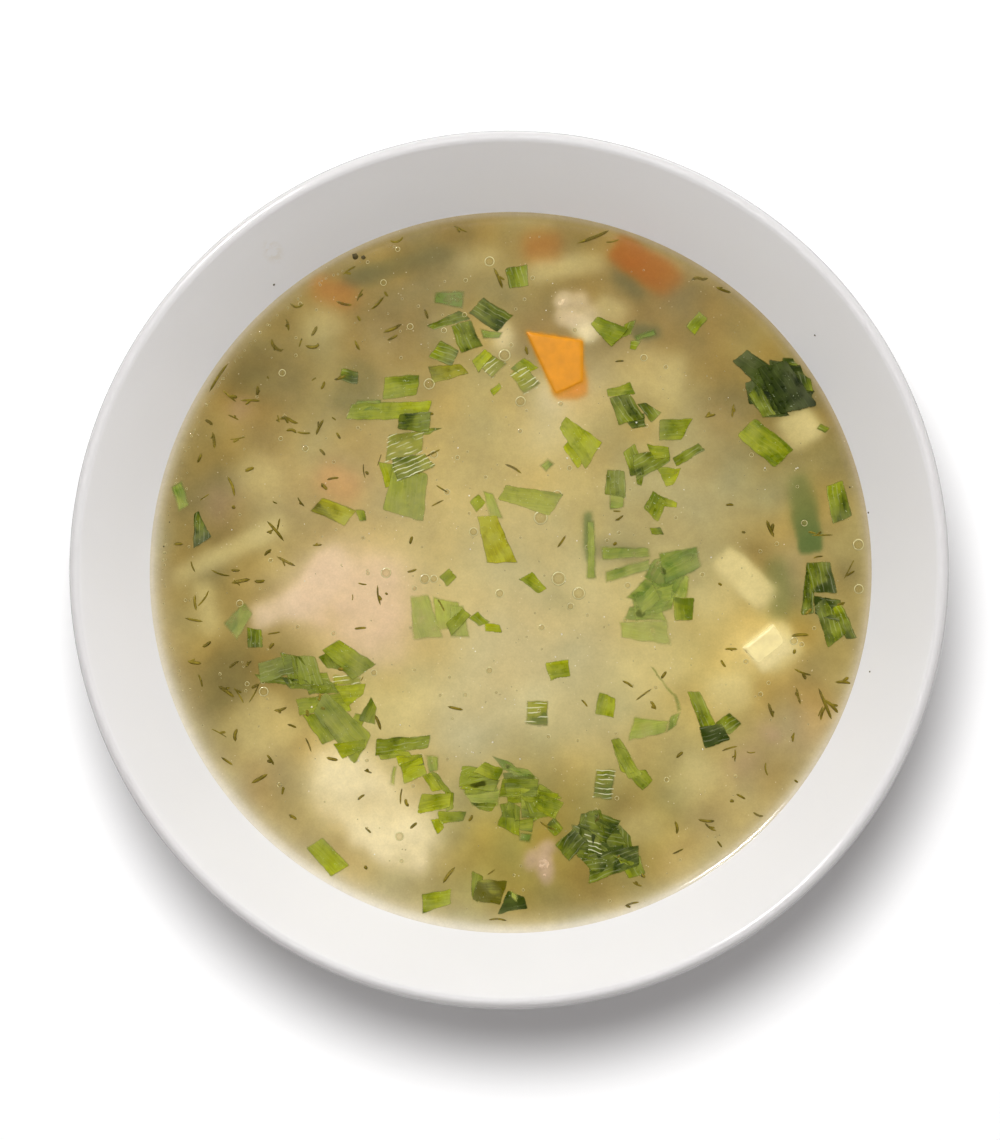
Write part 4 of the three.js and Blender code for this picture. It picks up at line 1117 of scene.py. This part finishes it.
def leaf_sheet(corners, top, seed, haze, shade=None, rib_turn=None):
    """A cut leaf as places, faces, its grain and its look, with uneven edges and a soft curl."""
    draw = np.random.default_rng(seed)
    a, b, c, d = corners
    long = max(np.linalg.norm(b - a), np.linalg.norm(c - d))
    wide = max(np.linalg.norm(d - a), np.linalg.norm(c - b))
    n, m = max(6, round(long / LEAF_CELL)), max(5, round(wide / LEAF_CELL))
    grids = np.meshgrid(np.linspace(0, 1, n + 1), np.linspace(0, 1, m + 1), indexing="ij")
    u, v = (grid.ravel() for grid in grids)
    flat = (np.outer((1 - u) * (1 - v), a) + np.outer(u * (1 - v), b) + np.outer(u * v, c)
            + np.outer((1 - u) * v, d))
    blunt = (np.abs(2 * u - 1) * np.abs(2 * v - 1)) ** 8 * draw.uniform(0.01, 0.06)
    flat += (flat.mean(0) - flat) * blunt[:, None]
    shaped = flat + bends(flat, BEND_SIZE, seed) * EDGE_WANDER
    shaped += bends(flat, CRINKLE_SIZE, seed) * EDGE_WANDER * 0.35
    wave = ripples(flat, WAVE_SIZE, seed + 0.5)
    curl = ((2 * u - 1) ** 2 - 0.33) * draw.uniform(-0.12, 0.2)
    curl += ((2 * v - 1) ** 2 - 0.33) * draw.uniform(0, 0.16)
    lively = min(1.0, long / 9)
    height = top + (wave * 0.12 + curl) * lively
    upper = np.column_stack([shaped, np.maximum(height, LEVEL + 0.04)])
    lower = upper - [0, 0, LEAF_THICK]
    count = len(upper)
    spot = np.arange(count).reshape(n + 1, m + 1)
    cells = np.stack([spot[:-1, :-1], spot[1:, :-1], spot[1:, 1:], spot[:-1, 1:]], -1).reshape(-1, 4)
    rim = np.concatenate([spot[:-1, 0], spot[-1, :-1], spot[:0:-1, -1], spot[0, :0:-1]])
    after = np.roll(rim, -1)
    edge_faces = np.stack([rim + count, after + count, after, rim], -1)
    faces = np.vstack([cells, cells[:, ::-1] + count, edge_faces])
    along = (b - a) / np.linalg.norm(b - a)
    if rib_turn is not None:
        along = heading(math.radians(rib_turn))
    from_middle = flat - flat.mean(0)
    across = from_middle @ [-along[1], along[0]]
    grain = np.column_stack([from_middle @ along, across, np.full(count, seed * 7.3)])
    from_edge = np.minimum(np.minimum(u, 1 - u) * long, np.minimum(v, 1 - v) * wide)
    sweep, beyond = (from_middle @ heading(turn) for turn in draw.uniform(0, math.tau, 2))
    sweep = sweep / (0.5 * long)
    patchy = ripples(flat, PATCH_SIZE, seed + 9)
    sunk_share = np.clip(haze + sweep * 0.25 + patchy * 0.4, 0, 1)
    if shade is None:
        shade = draw.uniform(0.35, 0.65)
    fold_at = long * draw.uniform(0.0, 0.3)
    fold = np.clip((beyond - fold_at) / 0.4, 0, 1) * draw.choice([-0.35, -0.2, 0.0, 0.25])
    lit = shade + sweep * draw.uniform(-0.35, 0.35) + patchy * 0.42 + fold
    look = np.column_stack([sunk_share, np.clip(from_edge / 2, 0, 1), lit, np.ones(count)])
    return np.vstack([upper, lower]), faces, np.vstack([grain, grain]), np.vstack([look, look])


def leaf_finish(tone):
    """Leaf green with fine ribs along it, torn edges, clouded where it dips under the broth, and wet.

    Painted highlights: white glints on the ribs and here and there, and a paler edge, which is partly
    the cut's own colour and partly a painted highlight.
    """
    dark, light, solid, haze, rib_glints = TONES[tone]
    material, nodes = new_finish("onion_leaf_" + tone)
    grain = stored(nodes, "grain", "Vector")
    place = nodes.place()
    dips = nodes.add("ShaderNodeSeparateColor", {}, {0: stored(nodes, "look", "Color")})
    edge, shade = dips.other("Green") * 2.0, dips.other("Blue")

    def along_leaf(stretch, detail):
        drawn = nodes.add("ShaderNodeVectorMath", {"operation": "MULTIPLY"}, {0: grain, 1: stretch})
        return nodes.add("ShaderNodeTexNoise", {}, {"Vector": drawn, "Scale": 1.0, "Detail": detail})

    veins = along_leaf((0.12, 2.8, 1.0), 3.0).step(0.3, 0.7)
    bands = along_leaf((0.1, 0.45, 1.0), 2.0).step(0.3, 0.7)
    dapple = nodes.noise(place, 1.3, 4.0).step(0.32, 0.68)
    tint = shade + (veins - 0.5) * 0.22 + (bands - 0.5) * 0.3 + (dapple - 0.5) * 0.22
    face = nodes.mix(tint, srgb(*dark), srgb(*light))
    bruises = nodes.noise(place, 2.4, 3.0).step(0.56, 0.7)
    face = nodes.mix(bruises * 0.2, face, srgb(*(c * 0.62 for c in dark)))
    # A paler edge: partly the cut's own colour, partly a painted highlight.
    rim = (1 - edge.step(0.1, 0.4)) * nodes.noise(place, 1.2, 2.0).step(0.35, 0.6)
    face = nodes.mix(rim * 0.45, face, srgb(*(min(255, c * 1.14) for c in light)))
    face = nodes.mix(dips * 0.5, face, srgb(*LEAF_MIST))
    along, across, leaf = nodes.split(grain)
    # Painted highlights: white glints in fine lines along the ribs, where light catches them.
    lane = across / RIB_GAP + nodes.noise(place, 4.0) * 0.8
    number = lane.math("FLOOR", lane)
    from_line = lane - number - 0.5
    line = 1 - from_line.math("ABSOLUTE", from_line).step(0.05, 0.15)
    run = nodes.add("ShaderNodeCombineXYZ", {}, {0: along * 0.24, 1: number * 3.1, 2: leaf})
    runs = nodes.add("ShaderNodeTexNoise", {}, {"Vector": run, "Scale": 1.0, "Detail": 1.0})
    white = line * runs.step(0.4, 0.56) * rib_glints
    face = nodes.mix(white * 0.8, face, srgb(*RIB_GLINT_WHITE))
    # Painted highlights: small white glints here and there.
    glints = nodes.noise(place, 0.4, 1.0).step(0.69, 0.77) * nodes.noise(place, 3.0).step(0.48, 0.6)
    face = nodes.mix(glints * 0.55, face, srgb(*GLINT_WHITE))
    torn = edge - (nodes.noise(place, 0.5, 2.0) - 0.44) * 0.7 - (nodes.noise(place, 1.8) - 0.5) * 0.9
    hazy = min(1.0, 0.75 + haze)
    soft_rim = edge.step(0.0, 0.25 + 1.5 * haze) * hazy + (1 - hazy)
    fading = nodes.noise(place, 2.6, 3.0).step(0.35, 0.8) * haze * 0.7
    alpha = (solid - dips * 0.28) * soft_rim * (1 - fading)
    alpha = alpha.math("MAXIMUM", alpha, white * 0.9) * torn.step(-0.02, 0.06)
    relief = nodes.bump(veins * 0.5 + dapple * 0.5, 0.07, 0.6)
    nodes.coat({
        "Base Color": face,
        "Roughness": 0.26 + dapple * 0.16,
        "Alpha": alpha,
        "Normal": relief,
        "IOR": 1.4,
        "Specular IOR Level": 0.3,
    })
    return material


def leaf_piece(name, sheets, material):
    """All leaves of one tone as one piece."""
    starts = np.cumsum([0] + [len(sheet[0]) for sheet in sheets])
    places = np.vstack([sheet[0] for sheet in sheets])
    faces = np.vstack([sheet[1] + start for sheet, start in zip(sheets, starts)])
    piece = new_piece(name, places, faces, material)
    piece.data.set_sharp_from_angle(angle=math.radians(40))
    grain = piece.data.attributes.new("grain", "FLOAT_VECTOR", "POINT")
    grain.data.foreach_set("vector", np.vstack([sheet[2] for sheet in sheets]).ravel())
    look = piece.data.attributes.new("look", "FLOAT_COLOR", "POINT")
    look.data.foreach_set("color", np.vstack([sheet[3] for sheet in sheets]).ravel())
    return piece


def node_places(node):
    """Where the corners of a CAD solid are, in millimetres."""
    return np.array([vertex.co[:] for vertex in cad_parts[node].data.vertices]) / MM


def level_groups(node, height):
    """Groups of corners of a CAD solid at one height, each group joined by the solid's edges."""
    shape = bmesh.new()
    shape.from_mesh(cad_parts[node].data)
    bmesh.ops.remove_doubles(shape, verts=shape.verts, dist=0.0005 * MM)
    level = {v for v in shape.verts if abs(v.co.z / MM - height) < SAME_HEIGHT}
    groups = []
    while level:
        group, reach = [], [min(level, key=lambda v: v.index)]
        level.discard(reach[0])
        while reach:
            corner = reach.pop()
            group.append(tuple(corner.co[:]))
            for edge in corner.link_edges:
                other = edge.other_vert(corner)
                if other in level:
                    level.discard(other)
                    reach.append(other)
        groups.append(np.array(group) / MM)
    shape.free()
    return groups


# A fixed seed, so that the leaves' edges bend the same way each time
noise.seed_set(EDGE_SEED)
leaf_nodes = {tone: sorted(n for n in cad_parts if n.startswith("onion_" + tone)) for tone in TONES}
leaf_sheets = {tone: [] for tone in TONES}
for tone, names in leaf_nodes.items():
    for name in names:
        places = node_places(name)
        stacked = places[:, 2].min() + CAD_LEAF_THICK - CAD_LEAF_TOP
        top = LEVEL + LEAF_PROUD + stacked * STACK_SHARE
        seed = LEAF_SEED + len(leaf_sheets[tone]) * 7 + list(TONES).index(tone) * 101
        corners = leaf_corners(places[:, :2])
        haze = TONES[tone][3] + HAZES.get(name, 0.0)
        sheet = leaf_sheet(corners, top, seed, haze, SHADES.get(name), RIB_TURNS.get(name))
        leaf_sheets[tone].append(sheet)
small_sheets = {tone: [] for tone in TONES}
for number, (tone, shade, over, places, *rib_turn) in enumerate(SCRAPS):
    corners = leaf_corners(np.array(places).reshape(4, 2))
    middle = sum(corners) / 4
    corners = [middle + (corner - middle) * SCRAP_GROWTH for corner in corners]
    top = LEVEL + SCRAP_PROUD + SCRAP_STEP * (number % 4) + SCRAP_LIFT * over
    sheet = leaf_sheet(corners, top, SCRAP_SEED + number, TONES[tone][3], shade, *rib_turn)
    small_sheets[tone].append(sheet)
for tone in TONES:
    finish = leaf_finish(tone)
    piece = leaf_piece("onion_leaves_" + tone, leaf_sheets[tone], finish)
    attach(piece, "root")
    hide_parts(*leaf_nodes[tone])
    if small_sheets[tone]:
        piece = leaf_piece("onion_bits_" + tone, small_sheets[tone], finish)
        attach(piece, "root")
        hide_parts("soup")

# The dill: fine olive-green strands and little forks, cut short and boiled soft. They float flat in
# the surface, most of them to the left and along the lower right edge.
CAD_DILL_TOP = 39.42
DILL_RADIUS = 0.35
DILL_SIDES = 6
STRAY_COUNT = 70
STRAY_REACH = 82
DILL_DARK, DILL_LIGHT, DILL_SPOTS = (96, 84, 14), (148, 130, 38), (104, 92, 28)

# Sprigs: lines of places that each run along one strand
SPRIGS = [
    [(-54.1, 66.0), (-52.3, 63.6), (-50.4, 65.8)],
    [(-55.0, 62.1), (-54.0, 60.6), (-54.3, 59.0)],
    [(-34.0, 64.3), (-32.2, 65.4), (-30.9, 67.4)],
    [(-58.4, 57.2), (-59.2, 55.0), (-56.2, 52.8), (-55.4, 54.6)],
    [(-50.2, 55.5), (-48.4, 54.2), (-46.0, 54.6), (-47.0, 56.2)],
    [(-73.8, 44.0), (-71.8, 48.2), (-69.2, 51.1)],
    [(-56.6, 37.2), (-54.8, 38.6), (-53.2, 36.6), (-51.6, 36.2)],
    [(-54.8, 34.4), (-53.0, 35.4), (-52.2, 33.8)],
    [(-59.4, 12.2), (-56.9, 9.8), (-55.2, 7.2)],
    [(-56.2, 13.0), (-56.9, 9.8)],
    [(-57.0, 3.5), (-54.8, 2.2), (-52.3, 1.1)],
    [(-77.0, -5.8), (-77.4, -7.9), (-76.6, -9.8)],
    [(-60.9, -27.2), (-62.0, -30.2), (-63.8, -32.6)],
    [(-71.2, -28.2), (-69.0, -29.4), (-67.2, -31.0)],
    [(-29.6, 81.6), (-28.2, 79.8), (-25.6, 80.8), (-26.2, 82.6)],
    [(-14.0, 85.0), (-12.2, 84.2), (-10.1, 83.2)],
    [(16.7, 80.4), (20.8, 81.4), (24.9, 83.6)],
    [(23.4, 80.6), (25.6, 80.2), (27.4, 81.4)],
    [(44.6, 71.0), (46.2, 72.4), (47.4, 70.8), (49.0, 71.6)],
    [(50.6, 69.4), (52.6, 68.2), (54.6, 67.9)],
    [(-3.8, 74.5), (-2.4, 72.2), (-1.6, 69.2)],
    [(-62.9, -51.9), (-60.8, -50.8), (-58.9, -49.7)],
    [(-26.0, -52.8), (-26.8, -55.2), (-26.4, -57.4)],
    [(-25.2, -55.6), (-25.4, -57.0), (-24.4, -57.6)],
    [(27.9, -81.6), (29.8, -80.6), (31.6, -80.6)],
    [(81.2, -2.8), (82.8, 0.2), (84.2, 2.8)],
    [(75.0, -28.6), (76.4, -32.0), (78.4, -36.9)],
    [(76.2, -31.6), (78.6, -32.6), (80.0, -35.2)],
    [(76.8, -33.2), (75.4, -35.0), (75.6, -36.8)],
    [(79.0, -27.4), (81.6, -27.0), (83.6, -28.0)],
    [(83.2, -28.2), (84.4, -31.2), (83.6, -34.6)],
    [(54.8, -43.6), (55.2, -45.0), (54.6, -46.6)],
    [(57.4, -44.2), (58.8, -45.0), (60.0, -44.2)],
    [(62.3, -46.6), (61.6, -48.6), (62.8, -50.2)],
    [(69.0, -51.0), (70.4, -52.0)],
    [(45.8, -60.6), (47.6, -61.4), (49.9, -61.0)],
    [(47.4, -61.4), (48.6, -63.2), (50.2, -63.4)],
    [(40.2, -61.0), (41.2, -62.6), (40.6, -64.2)],
    [(50.4, -65.8), (51.6, -67.4)],
    [(59.0, -58.8), (60.4, -60.2), (61.8, -59.8)],
    [(32.2, -73.6), (32.5, -74.6)],
    [(-37.4, 62.8), (-36.6, 61.4)],
    [(36.0, -81.0), (33.2, -82.2), (30.2, -83.4)],
    [(-5.2, -85.0), (-2.6, -84.2), (-0.4, -85.2)],
    [(-66.4, -38.6), (-67.6, -40.2), (-66.8, -41.8)],
    [(-42.6, 66.4), (-40.6, 65.2), (-38.6, 65.4)],
]


def bent(points, steps=7):
    """A smooth line that starts and ends with the points' line and rounds off its bends."""
    line = rounded(points, 3) if len(points) > 2 else np.array(points, float)
    walk = np.concatenate([[0], np.cumsum(np.linalg.norm(np.diff(line, axis=0), axis=1))])
    marks = np.linspace(0, walk[-1], steps)
    return np.column_stack([np.interp(marks, walk, line[:, k]) for k in range(2)])


def tube_tree(material):
    """A tree that gives each line a round body, thick in its middle and thin at its ends."""
    nodes, given = shape_tree("strands", Sides=DILL_SIDES, Radius=DILL_RADIUS * MM)
    lines = nodes.add("GeometryNodeMeshToCurve", {}, {"Mesh": given})
    thick = nodes.add("GeometryNodeInputNamedAttribute", {"data_type": "FLOAT"}, {"Name": "thick"})
    share = nodes.add("GeometryNodeSplineParameter")
    taper = (share * (1 - share) * 4) ** 0.22 * thick
    size = taper * given.other("Radius")
    ring = nodes.add("GeometryNodeCurvePrimitiveCircle", {}, {0: given.other("Sides"), 4: 1.0})
    sockets = {"Curve": lines, "Profile Curve": ring, "Scale": size, "Fill Caps": True}
    end_shape(nodes, nodes.add("GeometryNodeCurveToMesh", {}, sockets), material)
    return nodes


def dill_finish():
    """Boiled dill: olive green to brown, with darker spots, and see-through where it is limp."""
    material, nodes = new_finish("boiled_dill")
    place = nodes.place()
    shade = nodes.noise(place, 3.0, 3.0).step(0.35, 0.65)
    spots = nodes.noise(place, 0.6, 2.0).step(0.3, 0.7)
    colour = nodes.mix(shade, srgb(*DILL_DARK), srgb(*DILL_LIGHT))
    colour = nodes.mix(spots * 0.4, colour, srgb(*DILL_SPOTS))
    limp = nodes.noise(place, 7.0, 2.0).step(0.42, 0.62)
    nodes.coat({
        "Base Color": colour,
        "Roughness": 0.4 + spots * 0.2,
        "Alpha": 0.95 - limp * 0.3,
        "Normal": nodes.bump(spots, 0.05),
        "IOR": 1.4,
        "Specular IOR Level": 0.25,
    })
    return material


def twig(points, draw):
    """Lines of a strand: the strand itself, straightened a little, and now and then a fork."""
    points = np.array(points, float)
    chord = np.linspace(points[0], points[-1], len(points))
    strand = points + (chord - points) * 0.45
    lines = [strand]
    length = np.linalg.norm(points[-1] - points[0])
    for _ in range(draw.choice([0, 0, 0, 1, 1])):
        at = draw.uniform(0.15, 0.6)
        root = bent(strand, 11)[int(at * 10)]
        turn = math.atan2(*(points[-1] - points[0])[::-1]) + draw.choice([-1, 1]) * draw.uniform(0.35, 0.9)
        reach = max(0.8, length * draw.uniform(0.25, 0.5))
        lines.append(np.array([root, root + reach * heading(turn)]))
    return lines


draw = np.random.default_rng(5)
strands = []
for group in level_groups("soup", CAD_DILL_TOP):
    if 2 <= len(group) <= 4:
        reach = group[:, :2] - group[:, :2].mean(0)
        spread = np.linalg.svd(reach)[2][0]
        strands.append(group[np.argsort(reach @ spread)][:, :2])
strands += SPRIGS
for _ in range(STRAY_COUNT):
    radius, angle = math.sqrt(draw.uniform(0.1, 1)) * STRAY_REACH, draw.uniform(0, math.tau)
    middle = radius * heading(angle)
    crowd = 0.2 + 0.8 * (middle[0] < -20) + 0.5 * (radius > 60 and middle[1] < 10)
    if draw.uniform() > crowd:
        continue
    turn, half, bow = draw.uniform(0, math.pi), draw.uniform(0.4, 1.4), draw.uniform(-0.5, 0.5)
    step = heading(turn) * half
    strands.append([middle - step, middle + np.array([-step[1], step[0]]) * bow, middle + step])
points, links, thickness = [], [], []
for line in [bent(line) for strand in strands for line in twig(strand, draw)]:
    height = LEVEL + draw.uniform(-0.12, 0.1)
    thick = draw.uniform(0.55, 1.3)
    start = len(points)
    points += [(x, y, height) for x, y in line]
    thickness += [thick] * len(line)
    links += [(start + i, start + i + 1) for i in range(len(line) - 1)]
dill_green = dill_finish()
dill = new_piece("dill_strands", points, [], dill_green, links)
thick = dill.data.attributes.new("thick", "FLOAT", "POINT")
thick.data.foreach_set("value", thickness)
grow(dill, tube_tree(dill_green), Sides=DILL_SIDES, Radius=DILL_RADIUS * MM)
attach(dill, "root")
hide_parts("soup")

# The drops of fat: flat lenses that float on the broth, most of them tiny. Each has a painted highlight
# on its rim, where its edge curves down to the broth, and a clear middle.
ALL_DROPS = 560
WALL_BUBBLES = 110
BUBBLES_REACH = 85.2
DROPS_REACH = 84
DROP_RINGS, DROP_SEGMENTS = 6, 18
FAT_CLEAR, FAT_RIM_HIGHLIGHT = (176, 158, 84), (232, 224, 168)

# Place and radius of the drops that show best
DROPS = [
    (-4.8, 76.0, 1.25), (-1.1, 52.8, 1.5), (-19.6, 45.8, 1.4), (2.8, 41.4, 1.3), (-18.4, 28.4, 1.0),
    (11.8, 18.4, 1.2), (7.7, 12.8, 1.75), (-8.7, 9.4, 1.1), (12.1, -2.1, 1.8), (-2.3, -5.7, 1.1),
    (17.0, -5.7, 1.6), (-20.6, -2.1, 1.25), (-18.4, -2.1, 1.0), (-15.2, 19.2, 0.8), (-4.8, -24.5, 0.9),
    (-26.7, -64.8, 1.1), (-55.8, 48.7, 0.9), (-30.9, 70.9, 0.8), (-24.3, 60.0, 0.8), (-30.1, -0.6, 1.3),
    (71.9, 11.3, 0.8), (85.0, 6.0, 1.4), (85.0, -4.8, 1.2), (69.2, -17.4, 1.0), (28.9, -3.8, 0.8),
    (-60.0, -29.6, 1.2), (15.0, -8.9, 0.9), (-39.0, 38.0, 0.9), (-66.0, -8.0, 0.9), (40.6, 24.0, 0.8),
    (-16.0, 59.0, 0.7), (33.0, 52.0, 0.9), (-50.0, 30.0, 0.8), (8.0, -14.0, 0.8), (-33.0, -25.0, 0.8),
]


def drop_tree(material):
    """A tree that puts a flat round lens on every point, at the point's own size."""
    nodes, given = shape_tree("drops", Rings=DROP_RINGS, Segments=DROP_SEGMENTS)
    sides = {"Segments": given.other("Segments"), "Rings": given.other("Rings"), "Radius": 1.0}
    ball = nodes.add("GeometryNodeMeshUVSphere", {}, sides)
    flat = nodes.add("GeometryNodeTransform", {}, {"Geometry": ball, "Scale": (1.0, 1.0, 0.13)})
    here = nodes.add("GeometryNodeInputPosition")
    x, y, _ = nodes.split(here)
    kept = {"Geometry": flat, "Name": "outward", "Value": (x * x + y * y) ** 0.5}
    lens = nodes.add("GeometryNodeStoreNamedAttribute", {"data_type": "FLOAT"}, kept)
    size = nodes.add("GeometryNodeInputNamedAttribute", {"data_type": "FLOAT"}, {"Name": "size"})
    sockets = {"Points": given, "Instance": lens, "Scale": size}
    placed = nodes.add("GeometryNodeInstanceOnPoints", {}, sockets)
    end_shape(nodes, placed, material)
    return nodes


def fat_finish():
    """Clear fat: a painted highlight on its rim, a faint second ring inside it, and hardly any colour in the
    middle.
    """
    material, nodes = new_finish("clear_fat")
    outward = stored(nodes, "outward", "Fac")
    # Painted highlight: the rim is brought toward a bright yellow-white.
    rim = outward.step(0.74, 0.86) * (1 - outward.step(0.955, 1.0) * 0.6)
    inner = outward.step(0.4, 0.7) * (1 - outward.step(0.7, 0.76))
    colour = nodes.mix(rim, srgb(*FAT_CLEAR), srgb(*FAT_RIM_HIGHLIGHT))
    alpha = 0.2 + inner * 0.15 + rim * 0.55
    nodes.coat({"Base Color": colour, "Roughness": 0.08 + rim * 0.05, "Alpha": alpha, "IOR": 1.45})
    return material


rows = list(DROPS)
for _ in range(WALL_BUBBLES):
    radius, angle = BUBBLES_REACH - draw.uniform(0, 0.9), draw.uniform(1.9, 3.5)
    rows.append((*(radius * heading(angle)), 0.1 + 0.22 * draw.uniform() ** 2))
while len(rows) < ALL_DROPS:
    radius, angle = math.sqrt(draw.uniform(0, 1)) * DROPS_REACH, draw.uniform(0, math.tau)
    rows.append((*(radius * heading(angle)), 0.14 + 0.5 * draw.uniform() ** 3))
clear_fat = fat_finish()
fat_drops = new_piece("fat_drops", [(x, y, LEVEL + 0.02) for x, y, _ in rows], [], clear_fat)
size = fat_drops.data.attributes.new("size", "FLOAT", "POINT")
size.data.foreach_set("value", [radius * MM for _, _, radius in rows])
grow(fat_drops, drop_tree(clear_fat), Rings=DROP_RINGS, Segments=DROP_SEGMENTS)
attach(fat_drops, "root")

# The crumbs: dark specks of pepper and leaf that dried on the bare wall or float by the edge, and
# small white specks in the surface.
PEPPER_BROWN = (84, 72, 32)
SPECK_WHITE = (244, 238, 214)
WHITE_TRIES = 150
WHITE_PLACE, WHITE_SPREAD = (4, -8), 34
WHITE_REACH = 82

# Place and radius of the dark specks
DARK_SPECKS = [
    (87.4, 13.7, 0.28), (87.2, -25.0, 0.25), (74.3, 56.3, 0.3),
    (-37.9, 77.4, 0.9), (-35.9, 77.2, 0.6), (32.4, -74.2, 0.55), (-57.5, 70.0, 0.3), (83.0, 20.0, 0.25),
    (86.8, -6.0, 0.25), (62.4, 50.0, 0.25), (-84.8, 6.0, 0.22), (-83.4, 12.0, 0.2),
]


def crumb_finish(name, colour, gloss):
    """A hard little crumb, one colour with darker grains."""
    material, nodes = new_finish(name)
    grain = nodes.noise(nodes.place(), 0.3, 2.0).step(0.3, 0.7)
    shade = nodes.mix(grain, srgb(*(c * 0.8 for c in colour)), srgb(*colour))
    nodes.coat({"Base Color": shade, "Roughness": gloss + grain * 0.1})
    return material


def speck(x, y, radius, seed):
    """One uneven crumb that lies on the wall or, further in, half sunk in the broth."""
    places, faces = ball(1)
    bump = np.array([1 + 0.3 * noise.noise(Vector(place) * 1.6 + Vector((seed, 0, 0))) for place in places])
    places = places * bump[:, None] * radius * [1, 1, 0.6]
    height = max(LEVEL, float(wall_height(math.hypot(x, y))))
    return places + [x, y, height], faces


dark_specks = joined([speck(*row, seed) for seed, row in enumerate(DARK_SPECKS)])
dark = new_piece("dark_specks", *dark_specks, crumb_finish("pepper_specks", PEPPER_BROWN, 0.6))
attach(dark, "root")
white_rows = []
for _ in range(WHITE_TRIES):
    x, y = (draw.normal(middle, WHITE_SPREAD) for middle in WHITE_PLACE)
    if math.hypot(x, y) < WHITE_REACH:
        white_rows.append((x, y, 0.08 + 0.2 * draw.uniform() ** 2))
white_specks = joined([speck(*row, seed) for seed, row in enumerate(white_rows)])
white = new_piece("white_specks", *white_specks, crumb_finish("pale_speck_finish", SPECK_WHITE, 0.4))
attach(white, "root")

# The studio: a pale grey floor that glows beyond a ring round the bowl, so that the edge of the bowl's
# shadow is painted, a soft lamp not far above the bowl, two weaker ones that fill the shadows, one that
# only shows as wet glints, and pale air.
CAMERA_LEAN = (0.0385, -0.060, 1.0)
CAMERA_DISTANCE = 0.7003
CAMERA_AIM = (-0.0015, -0.0011, 0.058)
CAMERA_LENS = 93.0
AIR = (1.0, 0.9, 0.89, 1.0)
AMBIENT = 0.19
FLOOR_HALF = 3000
FLOOR_GREY = 0.62
FLOOR_GLOW = 0.47
GLOW_FROM, GLOW_TO = 0.102, 0.127
GLOW_SHIFT = (0.0012, -0.010)

# Name, turn, height, distance, size, power and kind of each lamp
LAMPS = [
    ("soft_lamp", 97.0, 78.0, 0.95, 0.3, 5.6, "soft"),
    ("side_lamp", 66.0, 35.0, 2.4, 1.0, 17.0, "fill"),
    ("left_lamp", 150.0, 30.0, 2.4, 1.0, 6.0, "fill"),
    ("glint_lamp", 128.0, 52.0, 1.2, 0.2, 8.0, "mirrored"),
]

floor_finish, nodes = new_finish("studio_floor")
x, y, _ = nodes.split(nodes.place())
# Painted shadow: the floor glows only beyond a ring round the bowl, shifted to the side the shadow falls on.
far = ((x - GLOW_SHIFT[0]) ** 2.0 + (y - GLOW_SHIFT[1]) ** 2.0) ** 0.5
glow = grey(nodes, far.step(GLOW_FROM, GLOW_TO) * FLOOR_GLOW)
pale = (FLOOR_GREY, FLOOR_GREY, FLOOR_GREY, 1.0)
nodes.coat({"Base Color": pale, "Roughness": 0.9, "Emission Color": glow, "Emission Strength": 1.0})
corners = [(x * FLOOR_HALF, y * FLOOR_HALF, 0) for x, y in ((-1, -1), (1, -1), (1, 1), (-1, 1))]
floor = new_piece("studio_floor", corners, [(0, 1, 2, 3)], floor_finish)

world = bpy.data.worlds.new("studio_air")
bpy.context.scene.world = world
world.use_nodes = True
world.node_tree.nodes["Background"].inputs["Color"].default_value = AIR
world.node_tree.nodes["Background"].inputs["Strength"].default_value = AMBIENT


def facing(away, up=Vector((0, 1, 0))):
    """The turn of a lamp or a camera that stands in that direction and looks back."""
    back = away.normalized()
    right = up.cross(back).normalized()
    return Matrix((right, back.cross(right), back)).transposed().to_4x4()


for name, turn, height, distance, size, power, kind in LAMPS:
    level_part = heading(math.radians(turn)) * math.cos(math.radians(height))
    away = Vector((*level_part, math.sin(math.radians(height))))
    lamp = bpy.data.objects.new(name, bpy.data.lights.new(name, "AREA"))
    lamp.data.shape = "DISK"
    lamp.data.size = size
    lamp.data.energy = power
    lamp.data.use_shadow = kind != "fill"
    lamp.visible_glossy = kind == "mirrored"
    lamp.visible_diffuse = kind != "mirrored"
    lamp.matrix_world = Matrix.Translation(away * distance) @ facing(away)
    bpy.context.scene.collection.objects.link(lamp)

lean = Vector(CAMERA_LEAN).normalized()
camera = bpy.data.objects.new("camera", bpy.data.cameras.new("camera"))
camera.data.lens = CAMERA_LENS
camera.matrix_world = Matrix.Translation(Vector(CAMERA_AIM) + lean * CAMERA_DISTANCE) @ facing(lean)
bpy.context.scene.collection.objects.link(camera)
bpy.context.scene.camera = camera
bpy.context.scene.view_settings.view_transform = "Standard"
